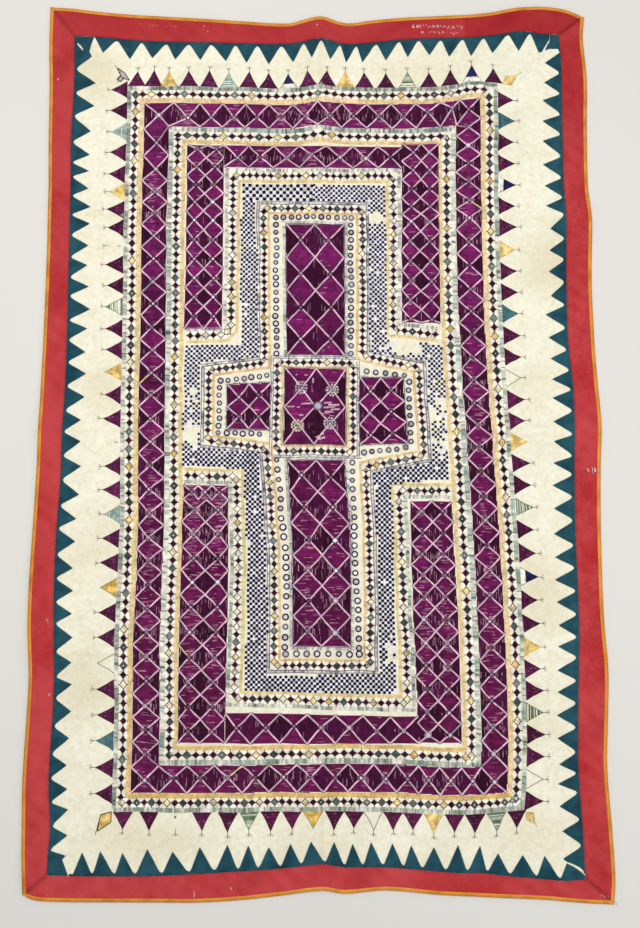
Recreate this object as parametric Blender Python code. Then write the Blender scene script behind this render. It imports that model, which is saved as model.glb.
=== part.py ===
"""Ralli quilt, laid out flat: a pale ground cloth with a raised embroidered field, four
saw-tooth strips, four border strips and four binding strips.

The tables are in millimetres from the quilt's top left corner, x to the right and y down
the quilt. The finished objects are in metres, centred on the quilt, lying on z = 0.
"""

import math
from bisect import bisect_right

import bmesh
import bpy
from mathutils.geometry import delaunay_2d_cdt

MM = 0.001
QUILT_WIDTH = 1350.0
QUILT_LENGTH = 2150.0

# Thicknesses and gaps, from the surface that the quilt lies on upwards.
GROUND_THICKNESS = 3.0
PIECE_GAP = 0.3
MITRE_GAP = 0.25
LAYER_GAP = 0.45
SAWTOOTH_THICKNESS = 0.9
BORDER_THICKNESS = 1.3
BINDING_THICKNESS = 5.2
BINDING_WIDTH = 8.0
BINDING_CHAMFER = 1.8

# The whole quilt was sewn a little out of square: each millimetre down the quilt moves it
# this far to the right.
SKEW = 0.0131

# Saw-tooth strips: the plain part left beside the seam and the swell of a tooth's sides.
TOOTH_ROOT = 7.5
TOOTH_SPREAD = 0.72
TOOTH_STEPS = (0.22,)

# Embroidered field: the height of the stitched bands and the little triangles around it.
FIELD_RELIEF = 0.7
BAND_RELIEF = 0.5
STEP_HALF_WIDTH = 0.6
FRAME_WIDTH = 45.0
BAND_WIDTH = 61.0
POINT_REACH = 40.0
POINT_HALF_BASE = 23.0

# Spacing of the points that let a sheet bend.
STATION_STEP = 45.0
RING_STEP = 70.0
CORNER_STEPS = (4.0, 12.0, 22.0, 36.0, 55.0, 78.0, 106.0)
STATION_CLEARANCE = 2.5
GRID_STEP = 110.0
GRID_CLEARANCE = 7.0
RIDGE_STEPS = 8

# Limits of the geometry itself.
MEETING_ROUNDS = 8
MITRE_LIMIT = 0.8
MERGE_DISTANCE = 0.02
NARROWEST_GAP = 1.0
SHEET_TOLERANCE = 0.0001

# One row a station: position along the side, outer edge of the quilt, border seam.
SIDES = {
    "top": (
        (-2, -5, 71), (50, -3, 71), (120, 5, 73), (200, 12, 80), (300, 17, 85),
        (400, 22, 85), (500, 28, 87), (600, 32, 87), (640, 23, 81), (685, 14, 73),
        (730, 27, 84), (760, 30, 86), (810, 22, 82), (900, 13, 71), (1000, 7, 67),
        (1100, 0, 61), (1180, -15, 49), (1210, -17, 49), (1235, -18, 55), (1270, -16, 56),
        (1310, -8, 62), (1350, 9, 65),
    ),
    "bottom": (
        (-1, 2150, 2107), (27, 2161, 2107), (100, 2164, 2107), (200, 2164, 2107),
        (300, 2163, 2105), (400, 2162, 2099), (500, 2155, 2092), (600, 2143, 2084),
        (685, 2131, 2073), (735, 2138, 2080), (830, 2130, 2079), (950, 2138, 2087),
        (1000, 2140, 2090), (1040, 2141, 2088), (1100, 2143, 2094), (1200, 2146, 2101),
        (1240, 2149, 2104), (1290, 2152, 2099), (1350, 2154, 2097),
    ),
    "left": (
        (-5, -2, 61), (100, -2, 62), (200, 2, 64), (350, 4, 60), (500, 8, 63),
        (700, 8, 63), (870, 6, 64), (1000, 3, 62), (1100, 1, 59), (1200, -1, 58),
        (1320, -5, 52), (1450, -9, 51), (1550, -9, 53), (1650, -3, 57), (1750, -5, 56),
        (1900, -10, 51), (2000, -8, 58), (2070, -6, 54), (2150, -1, 56),
    ),
    "right": (
        (9, 1350, 1283), (60, 1345, 1284), (110, 1348, 1288), (175, 1352, 1289),
        (300, 1348, 1287), (450, 1346, 1286), (540, 1352, 1289), (700, 1347, 1285),
        (850, 1349, 1285), (950, 1353, 1293), (1040, 1358, 1294), (1130, 1354, 1291),
        (1300, 1349, 1288), (1500, 1349, 1290), (1640, 1355, 1285), (1750, 1350, 1281),
        (1850, 1345, 1278), (2000, 1352, 1284), (2100, 1355, 1286), (2154, 1350, 1287),
    ),
}

# One row a station: position along the side, edge of the embroidered field.
FIELD_SIDES = {
    "top": (
        (200, 204), (300, 204), (450, 206), (590, 208), (640, 203), (683, 194),
        (725, 203), (850, 203), (960, 198), (1035, 190), (1062, 178), (1127, 188),
    ),
    "bottom": (
        (198, 1964), (350, 1966), (500, 1961), (700, 1956), (850, 1957), (1000, 1962),
        (1080, 1957), (1152, 1948),
    ),
    "left": (
        (204, 200), (600, 198), (800, 200), (1000, 199), (1150, 201), (1300, 203),
        (1450, 200), (1600, 196), (1750, 200), (1964, 198),
    ),
    "right": (
        (188, 1127), (300, 1129), (450, 1127), (650, 1127), (850, 1130), (1000, 1137),
        (1200, 1147), (1400, 1155), (1550, 1160), (1750, 1163), (1880, 1160),
        (1948, 1152),
    ),
}

# Hand-cut teeth, one row each: position of the tip along the side, position of the tip
# across it, and the valley that follows.
TEETH = {
    "top": (
        (134.5, 115, 169), (203, 131, 232), (259.5, 128, 295), (317, 131, 351),
        (380.5, 132, 407), (445, 134, 469), (497, 138, 524), (553, 141, 585),
        (614.5, 135, 641), (661.5, 124, 685), (708, 128, 733), (748, 135, 774),
        (789, 134, 824), (848, 128, 882), (903, 119, 931), (957.5, 113, 987),
        (1007.5, 117, 1042), (1062.5, 114, 1095), (1116.5, 106, 1156), (1182.5, 100, 1212),
        (1233, 104, 1240),
    ),
    "bottom": (
        (133.5, 2055, 158), (175, 2052, 209), (226, 2055, 256), (283, 2046, 317),
        (341, 2051, 380), (403.5, 2040, 438), (467, 2034, 492), (515, 2035, 538),
        (562, 2038, 589), (611.5, 2030, 637), (659, 2024, 691), (712, 2024, 736),
        (754.5, 2028, 778), (797, 2024, 824), (846, 2026, 871), (889, 2030, 914),
        (941, 2033, 967), (996.5, 2028, 1017), (1047, 2029, 1062), (1088, 2045, 1114),
        (1144.5, 2048, 1175), (1194.5, 2049, 1229), (1245, 2065, 1261),
    ),
    "left": (
        (125.5, 107, 159), (196, 118, 222), (256, 116, 283), (322.5, 109, 351),
        (384, 108, 404), (426, 107, 441), (471, 107, 490), (519, 114, 540),
        (562, 113, 591), (617, 110, 647), (667, 109, 698), (721, 114, 745),
        (778, 119, 806), (826, 113, 855), (884.5, 110, 910), (938, 113, 969),
        (995, 111, 1029), (1052, 104, 1081), (1104, 105, 1139), (1164, 107, 1197),
        (1232, 104, 1259), (1290, 99, 1313), (1344, 98, 1375), (1407, 94, 1431),
        (1460, 96, 1487), (1514, 95, 1537), (1569, 98, 1602), (1626.5, 97, 1660),
        (1677, 99, 1709), (1739, 99, 1773), (1800, 96, 1836), (1861, 92, 1891),
        (1914.5, 95, 1945), (1960, 98, 1998), (2017.5, 98, 2051), (2062.5, 96, 2071),
    ),
    "right": (
        (131, 1248, 157), (183, 1245, 212), (230, 1240, 267), (284, 1238, 319),
        (336, 1237, 376), (397.5, 1236, 431), (452, 1239, 482), (504.5, 1240, 526),
        (563, 1249, 587), (617, 1246, 640), (671, 1243, 697), (732, 1246, 754),
        (779, 1232, 812), (836, 1238, 866), (888, 1241, 916), (939, 1243, 964),
        (985, 1243, 1016), (1043, 1243, 1074), (1091, 1242, 1126), (1143, 1240, 1170),
        (1197, 1237, 1224), (1252, 1239, 1280), (1312.5, 1237, 1339), (1368, 1238, 1392),
        (1421, 1236, 1446), (1473, 1239, 1501), (1527, 1242, 1554), (1576, 1239, 1601),
        (1631, 1236, 1654), (1681, 1235, 1706), (1734, 1232, 1761), (1786, 1232, 1817),
        (1845, 1234, 1864), (1889, 1230, 1907), (1939, 1232, 1967), (1994, 1237, 2025),
        (2055, 1237, 2061),
    ),
}

# How each saw-tooth strip is cut at its two ends: rows of position along the side and depth
# from the seam, in order along the side. END stands for the neighbouring border's seam.
END = None
STRIP_ENDS = {
    "top": (((111.8, 2.4), (114, 2.4)), ((1240.5, 47), (1246, 37), (1256, 20), (1260.4, 15))),
    "bottom": (((104.6, 4.5), (114, 4.5)), ((1261, 30), (1276, 18), (END, 8))),
    "left": (((END, 49), (76, 48.6), (95, 42), (113, 38)),
             ((2071, 34), (2088, 41), (2101, 46), (END, 48))),
    "right": (((END, 22.5), (69, 22.5), (75, 24.5), (87.5, 33), (98.5, 38.5), (94.4, 28),
               (93.8, 6), (95, 4.5), (104, 2)),
              ((2061, 41), (2065, 29), (2072.5, 12), (2081, 3), (2086, 2.8))),
}

# One row for every few triangles: number of the triangle, its tip along the field's side.
POINTS = {
    "top": ((0, 222), (6, 504), (9, 652), (12, 793), (18, 1116)),
    "bottom": ((0, 225), (4, 467), (9, 713), (13, 893), (18, 1133)),
    "left": ((0, 213), (4, 433), (9, 664), (14, 932), (19, 1220), (25, 1568), (31, 1924)),
    "right": ((0, 230), (8, 671), (13, 938), (19, 1249), (25, 1578), (32, 1928)),
}

# Corners of the inner stitched panels, in order round each panel.
PANELS = {
    "upper_arch": (
        (350, 824), (442, 824), (442, 414), (882, 412), (882, 803), (979, 803),
    ),
    "lower_arch": (
        (352, 1205), (461, 1205), (463, 1500), (458, 1738), (600, 1733), (700, 1731),
        (800, 1736), (910, 1744), (900, 1500), (896, 1238), (995, 1238),
    ),
    "upper_arm": ((598, 558), (740, 558), (741, 886), (602, 886)),
    "left_arm": ((458, 967), (562, 954), (558, 1070), (456, 1070)),
    "centre": ((597, 918), (742, 922), (743, 1107), (592, 1103)),
    "right_arm": ((778, 940), (882, 938), (889, 1098), (777, 1105)),
    "lower_arm": (
        (604, 1143), (739, 1143), (752, 1340), (752, 1582), (618, 1582), (616, 1340),
    ),
}

# Storage folds that still stand up a little: the axis that the crest runs along, where it
# lies, half its width, and its height at the start, middle and end of its run.
RIDGES = (
    ("x", 540, 85, 2.0, 2.6, 3.2),
    ("x", 1077, 90, 3.4, 2.4, 3.0),
    ("x", 1606, 85, 2.6, 2.2, 1.6),
    ("y", 684, 80, 4.0, 2.6, 3.4),
)

# Places where the edge stands off the surface: x, y, radius, height.
LIFTS = (
    (1235, -15, 210, 2.6),
    (1358, 1045, 220, 2.2),
    (-9, 1480, 220, 2.4),
    (30, 2160, 200, 2.0),
)

COLOURS = {
    "ground_cloth": (0.86, 0.81, 0.60),
    "sawtooth": (0.022, 0.075, 0.095),
    "border": (0.52, 0.035, 0.055),
    "binding": (0.74, 0.24, 0.018),
}
CLOTH_ROUGHNESS = 0.9


# ---------------------------------------------------------------- lines on the quilt

def smooth_value(rows, position, column=1):
    """Value of a table's column at a position, on a smooth line through the rows."""
    starts = [row[0] for row in rows]
    i = min(max(bisect_right(starts, position) - 1, 0), len(rows) - 2)
    p0, p1 = rows[i], rows[i + 1]
    before, after = rows[max(i - 1, 0)], rows[min(i + 2, len(rows) - 1)]
    span = p1[0] - p0[0]
    slope0 = (p1[column] - before[column]) / (p1[0] - before[0])
    slope1 = (after[column] - p0[column]) / (after[0] - p0[0])
    t = min(max((position - p0[0]) / span, 0.0), 1.0)
    return (
        p0[column] * (1 + 2 * t) * (1 - t) ** 2
        + p1[column] * t * t * (3 - 2 * t)
        + span * t * (1 - t) * (slope0 * (1 - t) - slope1 * t)
    )


def inward(side):
    """Sign that turns a distance into the quilt into a change of x or y."""
    return 1 if side in ("top", "left") else -1


def place(side, along, across):
    """Point from a side's own two coordinates."""
    return (along, across) if side in ("top", "bottom") else (across, along)


def edge_point(side, along, inset):
    """Point at a distance inside the quilt's outer edge."""
    return place(side, along, smooth_value(SIDES[side], along, 1) + inward(side) * inset)


def seam_point(side, along, inset):
    """Point at a distance inside the border's seam."""
    return place(side, along, smooth_value(SIDES[side], along, 2) + inward(side) * inset)


def field_point(side, along, inset):
    """Point at a distance inside the edge of the embroidered field."""
    across = smooth_value(FIELD_SIDES[side], along, 1) + inward(side) * inset
    return place(side, along, across)


def meeting(upright, upright_line, level, level_line):
    """Point where a line along the left or right side meets one along the top or bottom."""
    y = SIDES[upright][0][0] if level == "top" else SIDES[upright][-1][0]
    x = upright_line(y)[0]
    for _ in range(MEETING_ROUNDS):
        y = level_line(x)[1]
        x = upright_line(y)[0]
    return x, y


def corner(line, upright, level, inset):
    """Corner of a four-sided line, such as its left and top."""
    return meeting(upright, lambda s: line(upright, s, inset),
                   level, lambda s: line(level, s, inset))


def common_marks(side, step):
    """Positions shared by every line along a side, closer at its ends and at its folds."""
    first, last = SIDES[side][0][0], SIDES[side][-1][0]
    marks = {first + gap for gap in CORNER_STEPS} | {last - gap for gap in CORNER_STEPS}
    starts, stops = STRIP_ENDS[side]
    marks |= {along for along in (starts[0][0], stops[-1][0]) if along is not END}
    crest_axis = "y" if side in ("top", "bottom") else "x"
    for axis, centre, half_width, *_ in RIDGES:
        if axis == crest_axis:
            marks |= {centre + half_width * (2 * k / RIDGE_STEPS - 1)
                      for k in range(RIDGE_STEPS + 1)}
    marks = sorted(marks)
    filled = []
    for a, b in zip(marks, marks[1:]):
        parts = max(1, math.ceil((b - a) / step))
        filled += [a + (b - a) * k / parts for k in range(parts)]
    return filled + marks[-1:]


def stations(side, start, stop, step):
    """Positions along one line of a side, from its start to its stop."""
    marks = [mark for mark in common_marks(side, step)
             if start + STATION_CLEARANCE < mark < stop - STATION_CLEARANCE]
    return [start] + marks + [stop]


def ring(line, inset, step):
    """Closed outline at a distance inside a four-sided line, clockwise from top left."""
    top_left = corner(line, "left", "top", inset)
    top_right = corner(line, "right", "top", inset)
    low_right = corner(line, "right", "bottom", inset)
    low_left = corner(line, "left", "bottom", inset)
    points = []
    for side, start, stop in (
        ("top", top_left[0], top_right[0]),
        ("right", top_right[1], low_right[1]),
        ("bottom", low_left[0], low_right[0]),
        ("left", top_left[1], low_left[1]),
    ):
        run = [line(side, along, inset) for along in stations(side, start, stop, step)]
        if side in ("bottom", "left"):
            run.reverse()
        points += run[:-1]
    return points


def spaced(rows):
    """Positions of every triangle of a side, from the rows for some of them."""
    places = []
    for (first, a), (last, b) in zip(rows, rows[1:]):
        places += [a + (b - a) * k / (last - first) for k in range(last - first)]
    return places + [rows[-1][1]]


# ---------------------------------------------------------------- height of the cloth

def hump(distance, reach):
    """Smooth rise from 0 at the reach to 1 in the middle."""
    if abs(distance) >= reach:
        return 0.0
    return 0.5 * (1 + math.cos(math.pi * distance / reach))


def lift(x, y):
    """Height of the underside above the surface that the quilt lies on."""
    squares = 0.0
    for axis, centre, half_width, start, middle, end in RIDGES:
        across, along, length = (y, x, QUILT_WIDTH) if axis == "x" else (x, y, QUILT_LENGTH)
        run = ((0, start), (length / 2, middle), (length, end))
        squares += (hump(across - centre, half_width) * smooth_value(run, along)) ** 2
    for centre_x, centre_y, radius, height in LIFTS:
        distance = math.hypot(x - centre_x, y - centre_y)
        squares += (hump(distance, radius) * height) ** 2
    return math.sqrt(squares)


# ---------------------------------------------------------------- flat outlines

def run_of(side, line, inset):
    """First and last position of a side between its two corners."""
    if side in ("left", "right"):
        return corner(line, side, "top", inset)[1], corner(line, side, "bottom", inset)[1]
    return corner(line, "left", side, inset)[0], corner(line, "right", side, inset)[0]


def strip_ends(side, line, stop_line):
    """First and last position of one long line of a strip, where other lines close it."""
    if side in ("left", "right"):
        return [meeting(side, line, level, lambda s, level=level: stop_line(level, s))[1]
                for level in ("top", "bottom")]
    return [meeting(upright, lambda s, upright=upright: stop_line(upright, s), side, line)[0]
            for upright in ("left", "right")]


def strip_line(side, line, stop_line):
    """Points of one long line of a strip."""
    start, stop = strip_ends(side, line, stop_line)
    return [line(s) for s in stations(side, start, stop, STATION_STEP)]


def strip_outline(side, outer, inner, stop_line):
    """Outline of a strip between two lines of a side, closed by its neighbours' lines."""
    return (strip_line(side, lambda s: outer(side, s), stop_line)
            + strip_line(side, lambda s: inner(side, s), stop_line)[::-1])


def binding_outline(side):
    """Binding: the long sides run through the corners, the short ones stop at them."""
    end_inset = 0 if side in ("left", "right") else BINDING_WIDTH + PIECE_GAP
    return strip_outline(
        side,
        lambda s, along: edge_point(s, along, 0),
        lambda s, along: edge_point(s, along, BINDING_WIDTH),
        lambda s, along: edge_point(s, along, end_inset),
    )


def border_outline(side):
    """Border strip, mitred at both corners, where it meets its neighbours' ends."""
    rows = []
    for line, inset in ((edge_point, BINDING_WIDTH + PIECE_GAP), (seam_point, 0)):
        start, stop = run_of(side, line, inset)
        places = stations(side, start + MITRE_GAP, stop - MITRE_GAP, STATION_STEP)
        rows.append([line(side, along, inset) for along in places])
    return rows[0] + rows[1][::-1]


def tooth_side(tip, valley, root, reach):
    """Points of one slanting side of a tooth, from its tip towards a valley."""
    points = [(tip, reach)]
    for part in reversed(TOOTH_STEPS):
        cream = abs(valley - tip) * part ** TOOTH_SPREAD
        along = valley + math.copysign(cream, tip - valley)
        points.append((along, root + (reach - root) * part))
    return points + [(valley, root)]


def sawtooth_outline(side):
    """Saw-tooth strip: hand-cut teeth between the two ends that fill the corners."""
    def stop_line(neighbour, along):
        return seam_point(neighbour, along, 2 * PIECE_GAP)

    def end_row(row, end):
        along, depth = row
        if along is END:
            along = strip_ends(side, lambda s: seam_point(side, s, depth), stop_line)[end]
        return along, depth

    outer = strip_ends(side, lambda s: seam_point(side, s, PIECE_GAP), stop_line)
    starts, stops = STRIP_ENDS[side]
    if starts[0][0] is not END:
        outer[0] = starts[0][0]
    if stops[-1][0] is not END:
        outer[1] = stops[-1][0]
    inner = [end_row(row, 0) for row in starts]
    rows = TEETH[side]
    for number, (tip, across, valley) in enumerate(rows):
        reach = (across - smooth_value(SIDES[side], tip, 2)) * inward(side)
        if number:
            inner += tooth_side(tip, rows[number - 1][2], TOOTH_ROOT, reach)[::-1]
        else:
            inner.append((tip, reach))
        if number + 1 < len(rows):
            inner += tooth_side(tip, valley, TOOTH_ROOT, reach)[1:-1]
    inner += [end_row(row, 1) for row in stops]
    seam = [seam_point(side, s, PIECE_GAP) for s in stations(side, *outer, STATION_STEP)]
    return seam + [seam_point(side, along, depth) for along, depth in reversed(inner)]


# ---------------------------------------------------------------- raised stitching

def field_outline():
    """Edge of the embroidered field with its ring of little triangles."""
    points = []
    for side in ("top", "right", "bottom", "left"):
        start, stop = run_of(side, field_point, 0)
        run = [field_point(side, start, 0)]
        for tip in spaced(POINTS[side]):
            run.append(field_point(side, max(tip - POINT_HALF_BASE, start + NARROWEST_GAP), 0))
            run.append(field_point(side, tip, -POINT_REACH))
            run.append(field_point(side, min(tip + POINT_HALF_BASE, stop - NARROWEST_GAP), 0))
        if side in ("bottom", "left"):
            run.append(field_point(side, stop, 0))
            run = run[:0:-1]
        points += run
    return points


def subdivided(points, step=RING_STEP):
    """Closed outline with no side longer than a step."""
    result = []
    for (ax, ay), (bx, by) in zip(points, points[1:] + points[:1]):
        parts = max(1, math.ceil(math.hypot(bx - ax, by - ay) / step))
        result += [(ax + (bx - ax) * k / parts, ay + (by - ay) * k / parts)
                   for k in range(parts)]
    return result


def moved_outline(points, distance):
    """Outline moved outwards; the outline runs clockwise with y down."""
    result = []
    for (ax, ay), (bx, by), (cx, cy) in zip(points[-1:] + points[:-1], points,
                                            points[1:] + points[:1]):
        first = math.hypot(bx - ax, by - ay)
        second = math.hypot(cx - bx, cy - by)
        n1 = ((by - ay) / first, -(bx - ax) / first)
        n2 = ((cy - by) / second, -(cx - bx) / second)
        nx, ny = n1[0] + n2[0], n1[1] + n2[1]
        scale = distance * 2 / max(nx * nx + ny * ny, MITRE_LIMIT)
        result.append((bx + nx * scale, by + ny * scale))
    return result


def inside(points, x, y):
    """Whether a point lies inside an outline."""
    result = False
    for (ax, ay), (bx, by) in zip(points, points[1:] + points[:1]):
        if (ay > y) != (by > y) and x < ax + (bx - ax) * (y - ay) / (by - ay):
            result = not result
    return result


def arch_outline(name, level):
    """Panel beside the outer frame, closed along the line that it shares with the frame."""
    inset = 2 * FRAME_WIDTH + BAND_WIDTH
    corners = PANELS[name]
    first, last = corners[0], corners[-1]
    left_edge, right_edge = [], []
    for side, edge in (("left", left_edge), ("right", right_edge)):
        far = corner(field_point, side, level, inset)[1]
        near = first[1] if side == "left" else last[1]
        marks = stations(side, min(far, near), max(far, near), RING_STEP)
        edge += [field_point(side, s, inset) for s in marks]
    start = corner(field_point, "left", level, inset)[0]
    stop = corner(field_point, "right", level, inset)[0]
    edge_line = [field_point(level, s, inset)
                 for s in stations(level, start, stop, RING_STEP)]
    inner = subdivided(list(corners))[:-1]
    inner = inner[1:inner.index(last)] if last in inner else inner[1:]
    if level == "top":
        return left_edge[::-1] + edge_line[1:-1] + right_edge + inner[::-1]
    return left_edge[::-1] + inner + right_edge + edge_line[::-1][1:-1]


def stitched_regions():
    """Raised regions of the ground cloth, each with the height that it adds."""
    regions = [(field_outline(), FIELD_RELIEF)]
    regions.append((ring(field_point, FRAME_WIDTH, RING_STEP), BAND_RELIEF))
    inner_edge = ring(field_point, FRAME_WIDTH + BAND_WIDTH, RING_STEP)
    regions.append((inner_edge, -BAND_RELIEF))
    regions.append((arch_outline("upper_arch", "top"), BAND_RELIEF))
    regions.append((arch_outline("lower_arch", "bottom"), BAND_RELIEF))
    for name in ("upper_arm", "left_arm", "centre", "right_arm", "lower_arm"):
        regions.append((subdivided(list(PANELS[name])), BAND_RELIEF))
    return regions


# ---------------------------------------------------------------- objects

def quilt_centre():
    """Middle of the quilt's outline, which becomes the origin."""
    outline = ring(edge_point, 0, STATION_STEP)
    ys = [y for _, y in outline]
    middle = (min(ys) + max(ys)) / 2
    xs = [x + SKEW * (y - middle) for x, y in outline]
    return (min(xs) + max(xs)) / 2, middle


def world_point(x, y, z, centre):
    """Point in metres from a point in the quilt's own millimetres."""
    return (x - centre[0] + SKEW * (y - centre[1])) * MM, (centre[1] - y) * MM, z * MM


def cloth_material(name):
    """Plain matt cloth of one colour."""
    material = bpy.data.materials.new(name)
    material.use_nodes = True
    shader = material.node_tree.nodes["Principled BSDF"]
    shader.inputs["Base Color"].default_value = (*COLOURS[name], 1.0)
    shader.inputs["Roughness"].default_value = CLOTH_ROUGHNESS
    shader.inputs["Metallic"].default_value = 0.0
    return material


def add_object(name, mesh, material, collection):
    """Object of its own in the quilt's collection."""
    mesh.name = name
    mesh.materials.clear()
    mesh.materials.append(material)
    piece = bpy.data.objects.new(name, mesh)
    collection.objects.link(piece)
    return piece


def even_triangles(bm):
    """Turn the long slivers of a filled outline into even triangles that can bend."""
    bm.normal_update()
    flat = [face for face in bm.faces if abs(face.normal.z) > 0.9]
    flat_set = set(flat)
    inner = [edge for edge in bm.edges
             if len(edge.link_faces) == 2 and all(f in flat_set for f in edge.link_faces)]
    bmesh.ops.beautify_fill(bm, faces=flat, edges=inner, method="AREA")


def chamfer_top(bm, width):
    """Chamfer along the upper rim of an upright strip."""
    bm.normal_update()
    rim = [
        edge for edge in bm.edges
        if len(edge.link_faces) == 2
        and sorted(round(face.normal.z) for face in edge.link_faces) == [0, 1]
    ]
    bmesh.ops.bevel(bm, geom=rim, offset=width * MM, segments=1, affect="EDGES")


def flat_piece(name, outline, bottom, thickness, centre, material, collection, chamfer=0.0):
    """Cut piece of cloth: a filled outline of even thickness, bent to the cloth's folds."""
    curve = bpy.data.curves.new(name + "_outline", "CURVE")
    curve.dimensions = "2D"
    curve.fill_mode = "BOTH"
    curve.extrude = thickness * MM / 2
    spline = curve.splines.new("POLY")
    spline.points.add(len(outline) - 1)
    for point, (x, y) in zip(spline.points, outline):
        point.co = (*world_point(x, y, 0, centre), 1.0)
    spline.use_cyclic_u = True
    guide = bpy.data.objects.new(name + "_outline", curve)
    collection.objects.link(guide)
    bpy.context.view_layer.update()
    evaluated = guide.evaluated_get(bpy.context.evaluated_depsgraph_get())
    mesh = bpy.data.meshes.new_from_object(evaluated)
    bpy.data.objects.remove(guide)

    bm = bmesh.new()
    bm.from_mesh(mesh)
    bmesh.ops.remove_doubles(bm, verts=bm.verts, dist=MERGE_DISTANCE * MM)
    bmesh.ops.recalc_face_normals(bm, faces=bm.faces)
    even_triangles(bm)
    if chamfer:
        chamfer_top(bm, chamfer)
    for vertex in bm.verts:
        y = centre[1] - vertex.co.y / MM
        x = vertex.co.x / MM + centre[0] - SKEW * (y - centre[1])
        vertex.co.z += (bottom + thickness / 2 + lift(x, y)) * MM
    bmesh.ops.triangulate(bm, faces=bm.faces)
    bm.to_mesh(mesh)
    bm.free()
    return add_object(name, mesh, material, collection)


def grid_points(outline, step):
    """Points inside an outline that let the sheet follow its folds."""
    xs = stations("top", min(x for x, _ in outline), max(x for x, _ in outline), step)
    ys = stations("left", min(y for _, y in outline), max(y for _, y in outline), step)
    return [(x, y) for x in xs for y in ys if inside(outline, x, y)]


def clear_points(points, loops):
    """Points that keep clear of every line of a set of closed loops."""
    kept = []
    sides = [(a, b) for loop in loops for a, b in zip(loop, loop[1:] + loop[:1])]
    for x, y in points:
        for (ax, ay), (bx, by) in sides:
            length = (bx - ax) ** 2 + (by - ay) ** 2
            t = min(max(((x - ax) * (bx - ax) + (y - ay) * (by - ay)) / length, 0.0), 1.0)
            gap = math.hypot(x - ax - t * (bx - ax), y - ay - t * (by - ay))
            if gap < GRID_CLEARANCE:
                break
        else:
            kept.append((x, y))
    return kept


def filled_sheet(outline, loops, points):
    """Triangles of a sheet that follows its outline, its inner loops and loose points."""
    coordinates, edges = [], []
    for loop in [outline] + loops:
        start = len(coordinates)
        coordinates += loop
        edges += [(start + i, start + (i + 1) % len(loop)) for i in range(len(loop))]
    coordinates += points
    corners, _, triangles, sources, *_ = delaunay_2d_cdt(
        coordinates, edges, [], 1, SHEET_TOLERANCE)
    place_of = {source: k for k, group in enumerate(sources) for source in group}
    rim = [place_of[i] for i in range(len(outline))]
    return [tuple(point) for point in corners], triangles, rim


def ground_cloth(centre, material, collection):
    """Ground cloth: a sheet with raised stitching on its face and a plain underside."""
    outline = ring(edge_point, BINDING_WIDTH + PIECE_GAP, STATION_STEP)
    regions = stitched_regions()
    steps = []
    for points, _ in regions:
        steps += [moved_outline(points, STEP_HALF_WIDTH),
                  moved_outline(points, -STEP_HALF_WIDTH)]
    grid = grid_points(outline, GRID_STEP)
    face_side = filled_sheet(outline, steps, clear_points(grid, [outline] + steps))
    under_side = filled_sheet(outline, [], clear_points(grid, [outline]))

    bm = bmesh.new()
    layers = []
    for (corners, triangles, rim), is_face in ((face_side, True), (under_side, False)):
        layer = []
        for x, y in corners:
            z = lift(x, y)
            if is_face:
                relief = sum(gain for points, gain in regions if inside(points, x, y))
                z += GROUND_THICKNESS + relief
            layer.append(bm.verts.new(world_point(x, y, z, centre)))
        for triangle in triangles:
            bm.faces.new([layer[i] for i in triangle])
        layers.append([layer[i] for i in rim])
    upper, lower = layers
    for i in range(len(outline)):
        j = (i + 1) % len(outline)
        bm.faces.new((upper[i], upper[j], lower[j], lower[i]))
    bmesh.ops.recalc_face_normals(bm, faces=bm.faces)
    bmesh.ops.triangulate(bm, faces=bm.faces)
    mesh = bpy.data.meshes.new("ground_cloth")
    bm.to_mesh(mesh)
    bm.free()
    return add_object("ground_cloth", mesh, material, collection)


def main():
    """Build the quilt in a collection of its own."""
    for item in list(bpy.data.objects):
        bpy.data.objects.remove(item)
    collection = bpy.data.collections.new("ralli_quilt")
    bpy.context.scene.collection.children.link(collection)
    materials = {name: cloth_material(name) for name in COLOURS}
    centre = quilt_centre()
    ground_cloth(centre, materials["ground_cloth"], collection)
    face = GROUND_THICKNESS + LAYER_GAP
    for side in SIDES:
        flat_piece("sawtooth_" + side, sawtooth_outline(side), face, SAWTOOTH_THICKNESS,
                   centre, materials["sawtooth"], collection)
        flat_piece("border_" + side, border_outline(side), face, BORDER_THICKNESS,
                   centre, materials["border"], collection)
        flat_piece("binding_" + side, binding_outline(side), 0.0, BINDING_THICKNESS,
                   centre, materials["binding"], collection, BINDING_CHAMFER)


main()
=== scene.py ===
"""Ralli quilt laid flat, face up: cloths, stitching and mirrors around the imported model.

The tables are in millimetres from the quilt's top left corner, x to the right and y down
the quilt. Heights are in millimetres above the surface that the quilt lies on. Meshes are
in metres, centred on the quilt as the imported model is.
"""

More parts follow.
